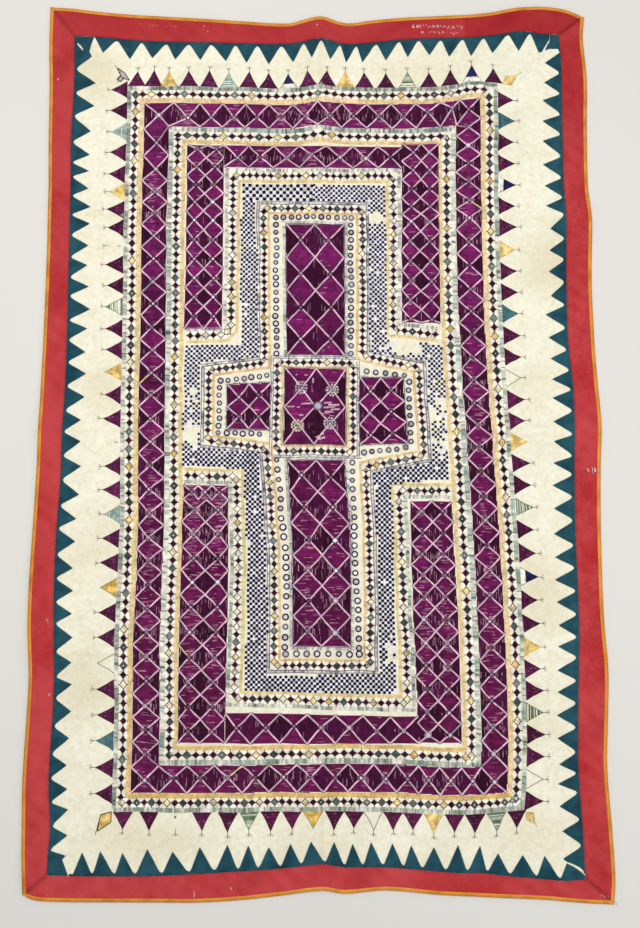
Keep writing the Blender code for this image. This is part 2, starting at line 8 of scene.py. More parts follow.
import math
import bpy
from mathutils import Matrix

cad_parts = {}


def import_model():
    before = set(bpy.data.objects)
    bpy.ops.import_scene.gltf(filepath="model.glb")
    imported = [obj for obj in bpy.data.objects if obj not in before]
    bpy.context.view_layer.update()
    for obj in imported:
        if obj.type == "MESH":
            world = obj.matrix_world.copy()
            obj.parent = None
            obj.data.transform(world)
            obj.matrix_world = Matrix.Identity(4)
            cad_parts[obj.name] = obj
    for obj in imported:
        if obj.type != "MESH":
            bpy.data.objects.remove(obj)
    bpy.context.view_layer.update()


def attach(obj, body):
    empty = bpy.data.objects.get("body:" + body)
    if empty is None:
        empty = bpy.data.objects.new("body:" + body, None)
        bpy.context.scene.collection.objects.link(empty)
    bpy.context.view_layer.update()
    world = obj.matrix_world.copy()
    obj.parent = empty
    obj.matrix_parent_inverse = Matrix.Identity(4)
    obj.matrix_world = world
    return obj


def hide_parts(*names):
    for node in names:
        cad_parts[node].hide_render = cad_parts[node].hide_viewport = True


bl_info = {
    "name": "Ralli Quilt",
    "version": (1, 0, 0),
    "blender": (4, 5, 0),
    "location": "View3D > Sidebar > Quilt",
    "description": "Builds a hand-stitched ralli quilt, its mirrors and a studio floor",
    "category": "Object",
}

from functools import lru_cache

import bpy
import numpy as np
from bpy.props import FloatProperty, FloatVectorProperty, PointerProperty
from bpy.types import Operator, Panel, PropertyGroup
from mathutils import Matrix
from mathutils.geometry import delaunay_2d_cdt

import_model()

MM = 0.001
BODY = "root"
QUILT_WIDTH = 1350.0
QUILT_LENGTH = 2150.0
QUILT_CENTRE = (676.16, 1073.24)

# Each millimetre down the quilt moves it this far to the right: it is a little out of square.
SKEW = 0.0131

# ---------------------------------------------------------------- layout of the cloths

# One row a station: position along the side, outer edge of the quilt, border seam.
SIDES = {
    "top": (
        (-2, -5, 71), (50, -3, 71), (120, 5, 73), (200, 12, 80), (300, 17, 85),
        (400, 22, 85), (500, 28, 87), (600, 32, 87), (640, 23, 81), (685, 14, 73),
        (730, 27, 84), (760, 30, 86), (810, 22, 82), (900, 13, 71), (1000, 7, 67),
        (1100, 0, 61), (1180, -15, 49), (1210, -17, 49), (1235, -18, 55), (1270, -16, 56),
        (1310, -8, 62), (1350, 9, 65),
    ),
    "bottom": (
        (-1, 2150, 2107), (27, 2161, 2107), (100, 2164, 2107), (200, 2164, 2107),
        (300, 2163, 2105), (400, 2162, 2099), (500, 2155, 2092), (600, 2143, 2084),
        (685, 2131, 2073), (735, 2138, 2080), (830, 2130, 2079), (950, 2138, 2087),
        (1000, 2140, 2090), (1040, 2141, 2088), (1100, 2143, 2094), (1200, 2146, 2101),
        (1240, 2149, 2104), (1290, 2152, 2099), (1350, 2154, 2097),
    ),
    "left": (
        (-5, -2, 61), (100, -2, 62), (200, 2, 64), (350, 4, 60), (500, 8, 63),
        (700, 8, 63), (870, 6, 64), (1000, 3, 62), (1100, 1, 59), (1200, -1, 58),
        (1320, -5, 52), (1450, -9, 51), (1550, -9, 53), (1650, -3, 57), (1750, -5, 56),
        (1900, -10, 51), (2000, -8, 58), (2070, -6, 54), (2150, -1, 56),
    ),
    "right": (
        (9, 1350, 1283), (60, 1345, 1284), (110, 1348, 1288), (175, 1352, 1289),
        (300, 1348, 1287), (450, 1346, 1286), (540, 1352, 1289), (700, 1347, 1285),
        (850, 1349, 1285), (950, 1353, 1293), (1040, 1358, 1294), (1130, 1354, 1291),
        (1300, 1349, 1288), (1500, 1349, 1290), (1640, 1355, 1285), (1750, 1350, 1281),
        (1850, 1345, 1278), (2000, 1352, 1284), (2100, 1355, 1286), (2154, 1350, 1287),
    ),
}

# One row a station: position along the side, edge of the embroidered field.
FIELD_SIDES = {
    "top": (
        (200, 204), (300, 202), (450, 203), (590, 205), (640, 203), (683, 195),
        (725, 200), (850, 201), (960, 198), (1025, 191), (1062, 179), (1127, 187),
    ),
    "bottom": (
        (198, 1964), (350, 1964), (500, 1962), (700, 1956), (850, 1956), (1000, 1961),
        (1080, 1956), (1150, 1948),
    ),
    "left": (
        (204, 199), (600, 197), (800, 199), (1000, 199), (1150, 201), (1300, 203),
        (1450, 200), (1600, 197), (1750, 200), (1964, 198),
    ),
    "right": (
        (188, 1127), (300, 1127), (450, 1124), (650, 1124), (850, 1128), (1000, 1134),
        (1200, 1145), (1400, 1154), (1550, 1158), (1750, 1161), (1880, 1158),
        (1948, 1150),
    ),
}

# Hand-cut teeth, one row each: position of the tip along the side, position of the tip
# across it, and the valley that follows.
TEETH = {
    "top": (
        (134.5, 115, 169), (203, 131, 232), (259.5, 128, 295), (317, 131, 351),
        (380.5, 132, 407), (445, 134, 469), (497, 138, 524), (553, 141, 585),
        (614.5, 135, 641), (661.5, 124, 685), (708, 128, 733), (748, 135, 774),
        (789, 134, 824), (848, 128, 882), (903, 119, 931), (957.5, 113, 987),
        (1007.5, 117, 1042), (1062.5, 114, 1095), (1116.5, 106, 1156), (1182.5, 100, 1212),
        (1233, 104, 1240),
    ),
    "bottom": (
        (133.5, 2055, 158), (175, 2052, 209), (226, 2055, 256), (283, 2046, 317),
        (341, 2051, 380), (403.5, 2040, 438), (467, 2034, 492), (515, 2035, 538),
        (562, 2038, 589), (611.5, 2030, 637), (659, 2024, 691), (712, 2024, 736),
        (754.5, 2028, 778), (797, 2024, 824), (846, 2026, 871), (889, 2030, 914),
        (941, 2033, 967), (996.5, 2028, 1017), (1047, 2029, 1062), (1088, 2045, 1114),
        (1144.5, 2048, 1175), (1194.5, 2049, 1229), (1245, 2065, 1261),
    ),
    "left": (
        (125.5, 107, 159), (196, 118, 222), (256, 116, 283), (322.5, 109, 351),
        (384, 108, 404), (426, 107, 441), (471, 107, 490), (519, 114, 540),
        (562, 113, 591), (617, 110, 647), (667, 109, 698), (721, 114, 745),
        (778, 119, 806), (826, 113, 855), (884.5, 110, 910), (938, 113, 969),
        (995, 111, 1029), (1052, 104, 1081), (1104, 105, 1139), (1164, 107, 1197),
        (1232, 104, 1259), (1290, 99, 1313), (1344, 98, 1375), (1407, 94, 1431),
        (1460, 96, 1487), (1514, 95, 1537), (1569, 98, 1602), (1626.5, 97, 1660),
        (1677, 99, 1709), (1739, 99, 1773), (1800, 96, 1836), (1861, 92, 1891),
        (1914.5, 95, 1945), (1960, 98, 1998), (2017.5, 98, 2051), (2062.5, 96, 2071),
    ),
    "right": (
        (131, 1248, 157), (183, 1245, 212), (230, 1240, 267), (284, 1238, 319),
        (336, 1237, 376), (397.5, 1236, 431), (452, 1239, 482), (504.5, 1240, 526),
        (563, 1249, 587), (617, 1246, 640), (671, 1243, 697), (732, 1246, 754),
        (779, 1232, 812), (836, 1238, 866), (888, 1241, 916), (939, 1243, 964),
        (985, 1243, 1016), (1043, 1243, 1074), (1091, 1242, 1126), (1143, 1240, 1170),
        (1197, 1237, 1224), (1252, 1239, 1280), (1312.5, 1237, 1339), (1368, 1238, 1392),
        (1421, 1236, 1446), (1473, 1239, 1501), (1527, 1242, 1554), (1576, 1239, 1601),
        (1631, 1236, 1654), (1681, 1235, 1706), (1734, 1232, 1761), (1786, 1232, 1817),
        (1845, 1234, 1864), (1889, 1230, 1907), (1939, 1232, 1967), (1994, 1237, 2025),
        (2055, 1237, 2061),
    ),
}

# How each saw-tooth strip is cut at its two ends: rows of position along the side and depth
# from the seam, in order along the side. END stands for the neighbouring border's seam.
END = None
STRIP_ENDS = {
    "top": (((111.8, 2.4), (114, 2.4)), ((1240.5, 47), (1246, 37), (1256, 20), (1260.4, 15))),
    "bottom": (((104.6, 4.5), (114, 4.5)), ((1261, 30), (1276, 18), (END, 8))),
    "left": (((END, 49), (76, 48.6), (95, 42), (113, 38)),
             ((2071, 34), (2088, 41), (2101, 46), (END, 48))),
    "right": (((END, 22.5), (69, 22.5), (75, 24.5), (87.5, 33), (98.5, 38.5), (94.4, 28),
               (93.8, 6), (95, 4.5), (104, 2)),
              ((2061, 41), (2065, 29), (2072.5, 12), (2081, 3), (2086, 2.8))),
}

# One row for every few leaves: number of the leaf, its tip along the field's side.
LEAVES = {
    "top": ((0, 222), (1, 264), (2, 303), (6, 504), (9, 652), (12, 793), (18, 1117)),
    "bottom": ((0, 225), (4, 467), (9, 713), (13, 893), (18, 1133)),
    "left": ((0, 213), (4, 433), (9, 664), (14, 932), (19, 1220), (25, 1568), (31, 1924)),
    "right": ((0, 230), (8, 671), (13, 938), (19, 1249), (25, 1578), (32, 1928)),
}

# Storage folds that still stand up a little: the axis that the crest runs along, where it
# lies, half its width, and its height at the start, middle and end of its run.
RIDGES = (
    ("x", 540, 85, 2.0, 2.6, 3.2),
    ("x", 1077, 90, 3.4, 2.4, 3.0),
    ("x", 1606, 85, 2.6, 2.2, 1.6),
    ("y", 684, 80, 4.0, 2.6, 3.4),
)

# Where the stiff stitched field ends at the left, top, right and bottom, how softly, and
# the share of the creases that it holds flat.
FIELD_BOX = (190, 195, 1145, 1960)
FIELD_EDGE = 20
FIELD_CALM = 0.72

# Half width of the sharp crease on each fold, and the finer mesh there: half width, step.
CREASE_HALF_WIDTH = 4.5
CREASE_MESH = (18, 4.0)

# Places where the edge stands off the surface: x, y, radius, height.
LIFTS = (
    (1235, -15, 210, 2.6),
    (1358, 1045, 220, 2.2),
    (-9, 1480, 220, 2.4),
    (30, 2160, 200, 2.0),
)

# The sides in the order in which the frames and the band of lattice run round.
CLOCKWISE = ("top", "right", "bottom", "left")

# Thickness of each cloth, the gaps between cloths, and the strip's depth at its valleys.
GROUND_THICKNESS = 3.0
SAWTOOTH_THICKNESS = 0.9
BORDER_THICKNESS = 1.3
BINDING_WIDTH = 8.0
BINDING_THICKNESS = 5.2
LAYER_GAP = 0.45
PIECE_GAP = 0.3
MITRE_GAP = 0.25
TOOTH_ROOT = 6.5

# Width of the outer frame, and of the band of lattice inside it.
FRAME_WIDTH = 45.0
BAND_WIDTH = 61.0

# ---------------------------------------------------------------- layout of the stitching

# Each stitched piece: seed of its random draws, and how far it is raised over the cloth.
STITCHED = {
    "satin_cells": (101, 0.42), "lattice_cords": (102, 0.0), "mirror_discs": (103, 0.0),
    "mirror_rims": (104, 0.0), "chain_diamonds": (105, 0.3), "chain_scallops": (106, 0.36),
    "gold_bands": (107, 0.35), "plain_lines": (108, 0.3), "counted_squares": (109, 0.0),
    "field_leaves": (110, 0.28), "forked_stems": (111, 0.0), "hem_stitches": (112, 0.0),
    "edge_stitches": (113, 0.0), "mends": (114, 0.0),
}

# Stitches no longer than this are left out. Where a straight one would cut this deep into
# a hump of the cloth, it is made in two parts, or in four.
SHORTEST_STITCH = 0.9
SAGS = (0.2, 0.6)

# Cords: slant and spacing of their stitches, the gap before each crossing, and the share
# of them that has an odd colour.
CORD_SLANT = 1.05
CORD_PITCH = 2.5
CORD_GAP = 6.5
ODD_CORD_SHARE = 0.015

# How far each ring of the outer embroidery lies inside the edge of the field.
FIRST_LINE = (0.5, 10.0)
FIRST_CHAIN = 21.5
FIRST_GOLD = (31.5, 42.5)
LAST_LINE = (107.0, 118.0)
LAST_CHAIN = 129.0
LAST_GOLD = (140.5, 149.5)

# Spacing of the diamonds of each frame, and where along its run one of the peach ones lies.
DIAMONDS = {
    "outer_top": (20.9, 510), "outer_right": (21.8, 572), "outer_bottom": (17.7, 540),
    "outer_left": (21.3, 653), "inner_top": (22.6, 576), "inner_right": (21.1, 564),
    "inner_bottom": (20.2, 533), "inner_left": (19.7, 657),
}

# How far the diamonds reach from the middle of their chain, and the domes beside them at
# their ends and at their tops.
CHAIN_REACH = 9.4
DOME = (7.4, 10.6)

# Crossings of the lattice in the outer band: number along the side, x, y.
BAND_CROSSINGS = {
    "top": (
        (0, 278, 278), (1, 353, 285), (4, 523, 282), (8, 767, 276), (10, 892, 277),
        (12, 1012, 253), (13, 1055, 255),
    ),
    "right": (
        (0, 1055, 255), (2, 1051, 349), (6, 1050, 538), (7, 1047, 599), (9, 1049, 717),
        (14, 1055, 1000), (16, 1063, 1107), (21, 1080, 1399), (29, 1083, 1885),
    ),
    "bottom": (
        (0, 274, 1891), (1, 340, 1886), (6, 658, 1880), (9, 832, 1882), (14, 1083, 1885),
    ),
    "left": (
        (0, 278, 278), (1, 274, 352), (2, 273, 420), (10, 272, 878), (14, 272, 1103),
        (19, 272, 1388), (28, 274, 1891),
    ),
}

# Blocks of lattice inside the frames: left edge and right edge as (y, x) from top to
# bottom, then the rows of crossings as (number, (x, y), (x, y) ...).
BLOCKS = (
    (((356, 351), (600, 351), (824, 350)), ((356, 442), (824, 442)),
     ((0, (378, 367), (424, 367)), (3, (371, 503), (417, 503)),
      (9, (373, 793), (421, 793)))),
    (((356, 443), (413, 443)), ((356, 886), (411, 884)),
     ((0, (476, 388), (533, 386), (598, 387), (663, 378), (731, 385), (795, 387),
       (858, 383)),)),
    (((346, 885), (803, 882)), ((346, 977), (600, 976), (803, 974)),
     ((0, (915, 370), (954, 370)), (3, (907, 510), (954, 510)),
      (4, (905, 549), (951, 549)), (7, (903, 698), (953, 698)),
      (9, (903, 795), (953, 795)))),
    (((1206, 353), (1240, 353)), ((1206, 461), (1240, 461)),
     ((0, (372, 1222), (405, 1222), (440, 1222)),)),
    (((1241, 352), (1600, 349), (1807, 350)), ((1241, 461), (1500, 463), (1738, 458),
                                               (1807, 457)),
     ((0, (381, 1265), (438, 1265)), (2, (380, 1380), (438, 1380)),
      (4, (376, 1494), (438, 1494)), (6, (373, 1612), (432, 1612)),
      (9, (372, 1781), (428, 1781)))),
    (((1738, 459), (1807, 459)), ((1741, 908), (1802, 908)),
     ((0, (485, 1773), (553, 1769), (619, 1767), (683, 1767), (748, 1769), (813, 1774),
       (875, 1774)),)),
    (((1239, 896), (1500, 901), (1800, 909)), ((1239, 995), (1500, 1005), (1800, 1009)),
     ((0, (923, 1263), (972, 1263)), (4, (925, 1464), (976, 1464)),
      (7, (929, 1625), (980, 1625)), (10, (932, 1782), (983, 1782)))),
    (((559, 598), (885, 602)), ((559, 740), (885, 741)),
     ((0, (632, 599), (703, 599)), (1, (634, 684), (707, 684)),
      (2, (634, 767), (709, 767)), (3, (634, 846), (707, 846)))),
    (((919, 597), (1105, 592)), ((921, 742), (1106, 743)),
     ((0, (636, 967), (710, 972)), (1, (630, 1057), (704, 1054)))),
    (((961, 458), (1070, 456)), ((957, 562), (1070, 558)),
     ((0, (485, 990), (533, 985)), (1, (485, 1039), (533, 1040)))),
    (((940, 778), (1103, 777)), ((940, 882), (1099, 889)),
     ((0, (802, 974), (852, 972)), (1, (802, 1028), (853, 1023)),
      (2, (802, 1081), (855, 1075)))),
    (((1144, 604), (1340, 616), (1582, 618)), ((1144, 739), (1340, 752), (1582, 752)),
     ((0, (637, 1179), (706, 1183)), (1, (643, 1257), (712, 1255)),
      (2, (652, 1334), (717, 1334)), (3, (653, 1405), (719, 1405)),
      (4, (652, 1478), (717, 1477)), (5, (651, 1547), (715, 1550)))),
)

# The block with the rosettes and their middle, the first block that is a panel of the
# cross, and the two panels with a wider plain line.
ROSETTE_BLOCK = 8
ROSETTE_MIDDLE = (676, 1012)
FIRST_PANEL = 7
ARM_BLOCKS = (7, 11)

# Plain line round each panel of the cross: its near edge, its far one, the wider far one.
PANEL_LINE = (-1.5, -5.5, -9.0)

# A bright mirror belongs to the crossing this close to it, and its glass is this share of
# the width given below. The mirrors of the rows are larger beyond the last line.
MIRROR_REACH = 14
GLASS_SHARE = 0.76
LOWER_RINGS = 1280

# Bright mirrors on the crossings: x, y, width; their brightness is painted reflection. The other
# mirrors are dim or lost.
BRIGHT_MIRRORS = (
    (278, 278, 10), (353, 285, 9), (415, 503, 9), (364, 547, 8), (416, 547, 9),
    (726, 385, 9), (795, 387, 9), (1051, 349, 11), (1050, 538, 9), (905, 551, 9),
    (717, 1334, 13), (719, 1405, 10), (717, 1477, 10), (715, 1550, 13), (438, 1433, 10),
    (378, 1437, 11), (373, 1555, 9), (929, 1579, 10), (925, 1525, 9), (932, 1782, 13),
    (983, 1782, 9), (983, 1729, 9), (1080, 1528, 9), (1083, 1828, 9), (1083, 1885, 12),
    (1035, 1885, 9), (983, 1885, 9), (832, 1882, 9), (780, 1881, 9), (594, 1881, 9),
    (748, 1769, 12), (274, 1891, 10),
)

# Chains of the two arches, from their left end to their right end.
ARCH_CHAINS = {
    "upper": (
        (355, 840), (449, 838), (464, 822), (466, 640), (465, 434), (662, 434),
        (862, 431), (863, 567), (861, 700), (860, 822), (920, 826), (972, 832),
    ),
    "lower": (
        (355, 1184), (479, 1184), (484, 1300), (487, 1409), (484, 1565), (479, 1705),
        (601, 1706), (744, 1709), (884, 1710), (882, 1566), (878, 1496), (873, 1300),
        (868, 1214), (977, 1212), (993, 1214),
    ),
}

# Chain of the cross-shaped frame, once round from its top left corner.
CROSS_CHAIN = (
    (543, 518), (662, 518), (785, 518), (786, 700), (785, 884), (838, 897), (920, 913),
    (926, 1020), (931, 1129), (842, 1147), (790, 1157), (796, 1300), (800, 1480),
    (798, 1628), (686, 1627), (572, 1627), (573, 1500), (572, 1410), (570, 1350),
    (565, 1280), (560, 1210), (553, 1118), (480, 1106), (411, 1100), (411, 1010),
    (411, 927), (480, 917), (546, 908), (544, 700),
)
CENTRE_CHAIN = ((578, 905), (762, 905), (760, 1122), (574, 1122))

# How far the gold band and the plain line lie beside each chain, to its right as it runs,
# and for the closed ones how far the diamonds reach.
ARCH_LINES = {
    "upper": ((11.5, 18.5), (-11.0, -19.0)),
    "lower": ((-11.5, -18.5), (11.0, 19.0)),
}
CLOSED_FRAMES = {
    "cross": (CROSS_CHAIN, (9.4, 15.8), (-11.0, -17.0), 9.0),
    "centre": (CENTRE_CHAIN, (9.0, 16.0), (-9.4, -14.6), 8.4),
}

# The checked ground lies inside the first outline and outside the second.
CHECK_OUTSIDE = (
    (488, 455), (843, 455), (842, 849), (978, 856), (985, 1000), (989, 1130), (989, 1183),
    (853, 1199), (857, 1320), (858, 1400), (856, 1688), (502, 1688), (504, 1620),
    (509, 1530), (509, 1400), (503, 1280), (498, 1165), (351, 1160), (351, 863),
    (488, 861),
)
CHECK_INSIDE = (
    (524, 499), (802, 499), (803, 880), (941, 899), (946, 1010), (949, 1145), (809, 1170),
    (815, 1250), (817, 1400), (822, 1648), (554, 1650), (553, 1590), (557, 1530),
    (553, 1400), (551, 1340), (547, 1260), (539, 1220), (533, 1126), (390, 1114),
    (390, 907), (531, 893),
)

# Spans of the fine squares, then spans and spacing of the coarse ones at the top left and
# the edge of their patch; below the last line the navy ones are larger.
CHECK_SPAN = ((345, 1000), (458, 1700))
COARSE_CHECKS = ((493, 664, 8.4), (460, 499, 8.7))
COARSE_EDGE = (666, 501)
LOWER_CHECKS = 1130

# Sizes as shares: of the navy squares and the white ones, of the coarse ones beside the
# fine ones, and of the navy ones and the white ones lower down.
CHECK_SIZES = (1.3, 1.36)
COARSE_SIZE = 1.34
LOWER_SIZES = (1.1, 0.94)

# Worn places and stains: x, y, half width, half height, then the share of the stitches
# that is gone or faded, or the strength of the stain.
WORN_CHECKS = (
    (370, 1086, 22, 24, 1.4), (375, 995, 16, 26, 0.6), (964, 1045, 30, 70, 0.55),
    (888, 868, 42, 18, 0.95), (822, 541, 24, 13, 1.3), (846, 1600, 14, 24, 0.6),
)
WORN_SATIN = (
    (405, 1300, 70, 105, 0.75), (400, 1600, 60, 130, 0.5), (335, 280, 30, 30, 0.8),
    (1052, 530, 34, 50, 0.6), (678, 610, 18, 55, 0.75), (705, 1018, 14, 20, 0.4),
    (950, 1500, 50, 200, 0.45), (275, 1400, 34, 380, 0.45), (1075, 1500, 34, 260, 0.45),
    (490, 280, 34, 30, 0.6), (650, 280, 80, 34, 0.8), (780, 280, 240, 24, 0.35),
    (710, 385, 90, 34, 0.6), (540, 385, 120, 30, 0.35), (272, 500, 34, 60, 0.7),
    (1055, 1000, 34, 200, 0.35), (680, 1450, 60, 200, 0.35), (660, 1880, 400, 24, 0.4),
)
STAINED_GROUND = (
    (120, 190, 60, 80, 0.5), (152, 1010, 40, 70, 0.35), (1240, 640, 50, 80, 0.35),
    (620, 150, 110, 40, 0.3), (900, 160, 100, 40, 0.4), (1215, 1480, 50, 90, 0.35),
    (300, 2030, 120, 50, 0.4), (700, 2040, 110, 40, 0.3), (1180, 2010, 100, 60, 0.5),
    (130, 1660, 50, 80, 0.35),
)

# Leaves that are not purple, by number: kind, and whether the forked stem is there.
ODD_LEAVES = {
    "top": {2: ("gold", 1), 5: ("grey", 1), 8: ("navy", 1), 11: ("gold", 1),
            14: ("green", 1), 17: ("navy", 1)},
    "left": {2: ("grey", 1), 5: ("gold", 1), 8: ("worn", 1), 11: ("green", 1),
             14: ("gold", 0), 17: ("worn", 0), 20: ("grey", 1), 23: ("dark_gold", 0),
             26: ("outline", 0), 29: ("teal", 1)},
    "right": {1: ("teal", 1), 4: ("navy", 1), 7: ("gold", 1), 10: ("teal", 1),
              13: ("outline", 1), 16: ("gold", 0), 19: ("green", 1), 22: ("navy", 1),
              25: ("gold", 1), 28: ("green", 1), 31: ("outline", 1)},
    "bottom": {2: ("worn", 1), 5: ("green", 1), 8: ("dark_gold", 0), 11: ("outline", 1),
               14: ("gold", 1), 17: ("green", 1)},
}

# Thread colours that aren't settings, among them the dark of the painted shadow beside the cords
# and the white of the mirrors' painted reflection.
SHADES = {
    "wine": "671440", "cord_shadow": "2A0620", "lilac_glass": "A89AB8", "painted_reflection_white": "F4F2F6",
    "cream_dot": "F4EEDF", "old_gold": "DEAF4C", "dusk": "4A3C58", "cool_white": "EAE8F2",
    "rose_fleck": "C79AB4", "brown": "4A3328", "dusty_plum": "5E4258", "deep_teal": "1D434C",
    "burnt_orange": "B9741E", "dark_red": "8E2231", "warm_cream": "EDE6C8",
}

# Colours of the few odd cords; of the rims on the lattice, in the rows and at the rosettes,
# with the share of each tone; and of the lighter diamonds.
ODD_CORDS = ("E9D6A4", "B4AABC", "D9A3C4")
RIM_TONES = {1: ("7A5672", "9A8098", "B8A8B6"), 2: ("2C1E34", "403348", "66616D"),
             3: ("8F8796", "7C6E82", "5C5062")}
RIM_SHARES = (0.45, 0.35, 0.2)
DIAMOND_TINTS = {
    "grey": ("48544F", "64716B", "3A4640", "87928A", "55625D"),
    "warm": ("EBCF8E", "F0DDAA", "E8C478", "F0E2BC"),
    "pale": ("F2EAD0", "EAD9A4", "D4D8C4", "F4ECDC"),
}

# Share of the lighter diamonds that are maroon after all, on each chain.
MAROON_SHARES = {"centre": 0.7, "cross": 0.35}
COMMON_MAROON_SHARE = 0.28

# Gold bands: how creamy, and how deep in colour.
GOLD_SHARES = {
    "outer_top": (0.85, 0.05), "outer_right": (0.8, 0.0), "outer_left": (0.6, 0.05),
    "outer_bottom": (0.2, 0.55), "inner_top": (0.6, 0.2), "inner_right": (0.6, 0.05),
    "inner_left": (0.5, 0.1), "inner_bottom": (0.3, 0.45), "upper_arch": (0.4, 0.02),
    "lower_arch": (0.1, 0.08), "cross": (1.0, 0.25), "centre": (0.8, 0.12),
}

# Where the bright cells begin to turn maroon down the quilt, and the outer left gold band
# deeper in colour, and over what distance they do.
MAROON_FROM = (700, 1000)
DEEP_GOLD_FROM = (1450, 300)

# Plain lines: colour, and how much of it is pale.
PLAIN_COATS = {
    "outer_left": ("8A968C", 0.5), "outer_top": ("7F8F86", 0.3), "outer_right": ("93A899", 0.45),
    "outer_bottom": ("8C9C8E", 0.4), "inner_left": ("7E9690", 0.75), "inner_top": ("7B908C", 0.4),
    "inner_right": ("86A29C", 0.7), "inner_bottom": ("84998C", 0.45),
    "upper_arch": ("9A94A4", 0.75), "lower_arch": ("8C9A92", 0.65), "cross": ("8D87A0", 0.6),
    "centre": ("C0B4CC", 0.7), "panel": ("9C9DA6", 0.55),
}

# Length of a leaf, half the width of its foot, and the spacing of its rows. Then how wide
# a leaf and a tooth are at each part of their length, as shares.
LEAF_REACH = 40.0
LEAF_HALF_BASE = 22.5
LEAF_PITCH = 1.75
LEAF_SPIRE = ((0.0, 1.0), (0.1, 0.87), (0.3, 0.65), (0.5, 0.45), (0.7, 0.26), (0.86, 0.12),
              (1.0, 0.0))
TOOTH_SPIRE = ((0.03, 0.91), (0.09, 0.81), (0.22, 0.69), (0.42, 0.52), (0.62, 0.35),
               (0.82, 0.17))

# Small lozenges at the corners of the field: outline, kind, end of the stem.
LOZENGES = (
    (((1178, 164), (1163, 191), (1141, 189), (1148, 168)), "gold", (1189, 156)),
    (((174, 1972), (198, 1964), (198, 1988), (167, 2008)), "dark_gold", (162, 2016)),
    (((1175, 1979), (1157, 1971), (1155, 1954), (1171, 1954)), "gold", (1180, 1986)),
    (((172, 155), (190, 168), (203, 188), (183, 180)), "star", (166, 148)),
    (((180, 176), (188, 184), (181, 192), (172, 184)), "star", (172, 194)),
)

# ---------------------------------------------------------------- lines on the quilt

def smooth_value(rows, position, column=1):
    """Value of a table's column at one position or many, on a smooth line through its rows."""
    places = np.array([row[0] for row in rows], float)
    values = np.array([row[column] for row in rows], float)
    s = np.asarray(position, float)
    i = np.clip(np.searchsorted(places, s, side="right") - 1, 0, len(places) - 2)
    before = np.maximum(i - 1, 0)
    after = np.minimum(i + 2, len(places) - 1)
    span = places[i + 1] - places[i]
    slope0 = (values[i + 1] - values[before]) / (places[i + 1] - places[before])
    slope1 = (values[after] - values[i]) / (places[after] - places[i])
    t = np.clip((s - places[i]) / span, 0.0, 1.0)
    return (
        values[i] * (1 + 2 * t) * (1 - t) ** 2
        + values[i + 1] * t * t * (3 - 2 * t)
        + span * t * (1 - t) * (slope0 * (1 - t) - slope1 * t)
    )


def side_points(side, along, across):
    """Points from a side's own two coordinates."""
    along, across = np.broadcast_arrays(np.asarray(along, float), across)
    pair = (along, across) if side in ("top", "bottom") else (across, along)
    return np.stack(pair, axis=-1)


def line_points(rows, column, side, along, inset):
    """Points of one of a side's lines, at a distance inside it."""
    inward = 1 if side in ("top", "left") else -1
    return side_points(side, along, smooth_value(rows, along, column) + inward * inset)


def edge_points(side, along, inset):
    """Points at a distance inside the quilt's outer edge."""
    return line_points(SIDES[side], 1, side, along, inset)


def seam_points(side, along, inset):
    """Points at a distance inside the border's seam."""
    return line_points(SIDES[side], 2, side, along, inset)


def field_points(side, along, inset):
    """Points at a distance inside the edge of the embroidered field."""
    return line_points(FIELD_SIDES[side], 1, side, along, inset)


def meeting(upright, upright_line, level, level_line):
    """Point where a line along the left or right side meets one along the top or bottom."""
    y = SIDES[upright][0][0] if level == "top" else SIDES[upright][-1][0]
    x = upright_line(y)[0]
    for _ in range(8):
        y = level_line(x)[1]
        x = upright_line(y)[0]
    return float(x), float(y)


def corner(line, upright, level, inset):
    """Corner of a four-sided line, such as its left and top."""
    return meeting(upright, lambda s: line(upright, s, inset),
                   level, lambda s: line(level, s, inset))


def run_of(side, line, inset):
    """First and last position of a side between its two corners."""
    if side in ("left", "right"):
        return corner(line, side, "top", inset)[1], corner(line, side, "bottom", inset)[1]
    return corner(line, "left", side, inset)[0], corner(line, "right", side, inset)[0]


def side_line(side, line, inset, count):
    """One side of a four-sided line, from corner to corner, as evenly spaced points."""
    start, stop = run_of(side, line, inset)
    return line(side, np.linspace(start, stop, count), inset)


def strip_ends(side, line, stop_line):
    """First and last position of one long line of a strip, where other lines close it."""
    if side in ("left", "right"):
        return [meeting(side, line, level, lambda s, level=level: stop_line(level, s))[1]
                for level in ("top", "bottom")]
    return [meeting(upright, lambda s, upright=upright: stop_line(upright, s), side, line)[0]
            for upright in ("left", "right")]


def spaced(rows):
    """Values for every number, from the rows for some of the numbers."""
    table = np.array(rows, float)
    numbers = np.arange(int(table[-1, 0]) + 1)
    columns = [np.interp(numbers, table[:, 0], table[:, k]) for k in range(1, table.shape[1])]
    return np.stack(columns, axis=-1)


def draws(name):
    """Random numbers of one stitched piece, the same in every run."""
    return np.random.default_rng(STITCHED[name][0])


def uneven(number, size):
    """Small offset that differs from piece to piece, as hand work does."""
    return size * math.sin(2.4 * number + 0.7 * math.sin(1.3 * number))


def mottle(x, y, size, seed):
    """Soft uneven values from about -1 to 1 in patches of one size."""
    rng = np.random.default_rng(seed)
    total = np.zeros(np.broadcast(x, y).shape)
    for _ in range(7):
        angle, phase = rng.uniform(0, 2 * math.pi, 2)
        length = size * rng.uniform(0.7, 1.7)
        total += np.sin(2 * math.pi * (x * np.cos(angle) + y * np.sin(angle)) / length + phase)
    return total / 3.2


def ramp(value, start, length):
    """Share from 0 before a start to 1 beyond a length after it."""
    return np.clip((value - start) / length, 0, 1)


def patches(table, x, y):
    """Highest value of a table of soft oval patches at each point."""
    value = np.zeros(np.broadcast(x, y).shape)
    for centre_x, centre_y, half_width, half_height, share in table:
        gap = np.hypot((x - centre_x) / half_width, (y - centre_y) / half_height)
        value = np.maximum(value, share * np.clip(1.5 - gap, 0.0, 1.0))
    return value


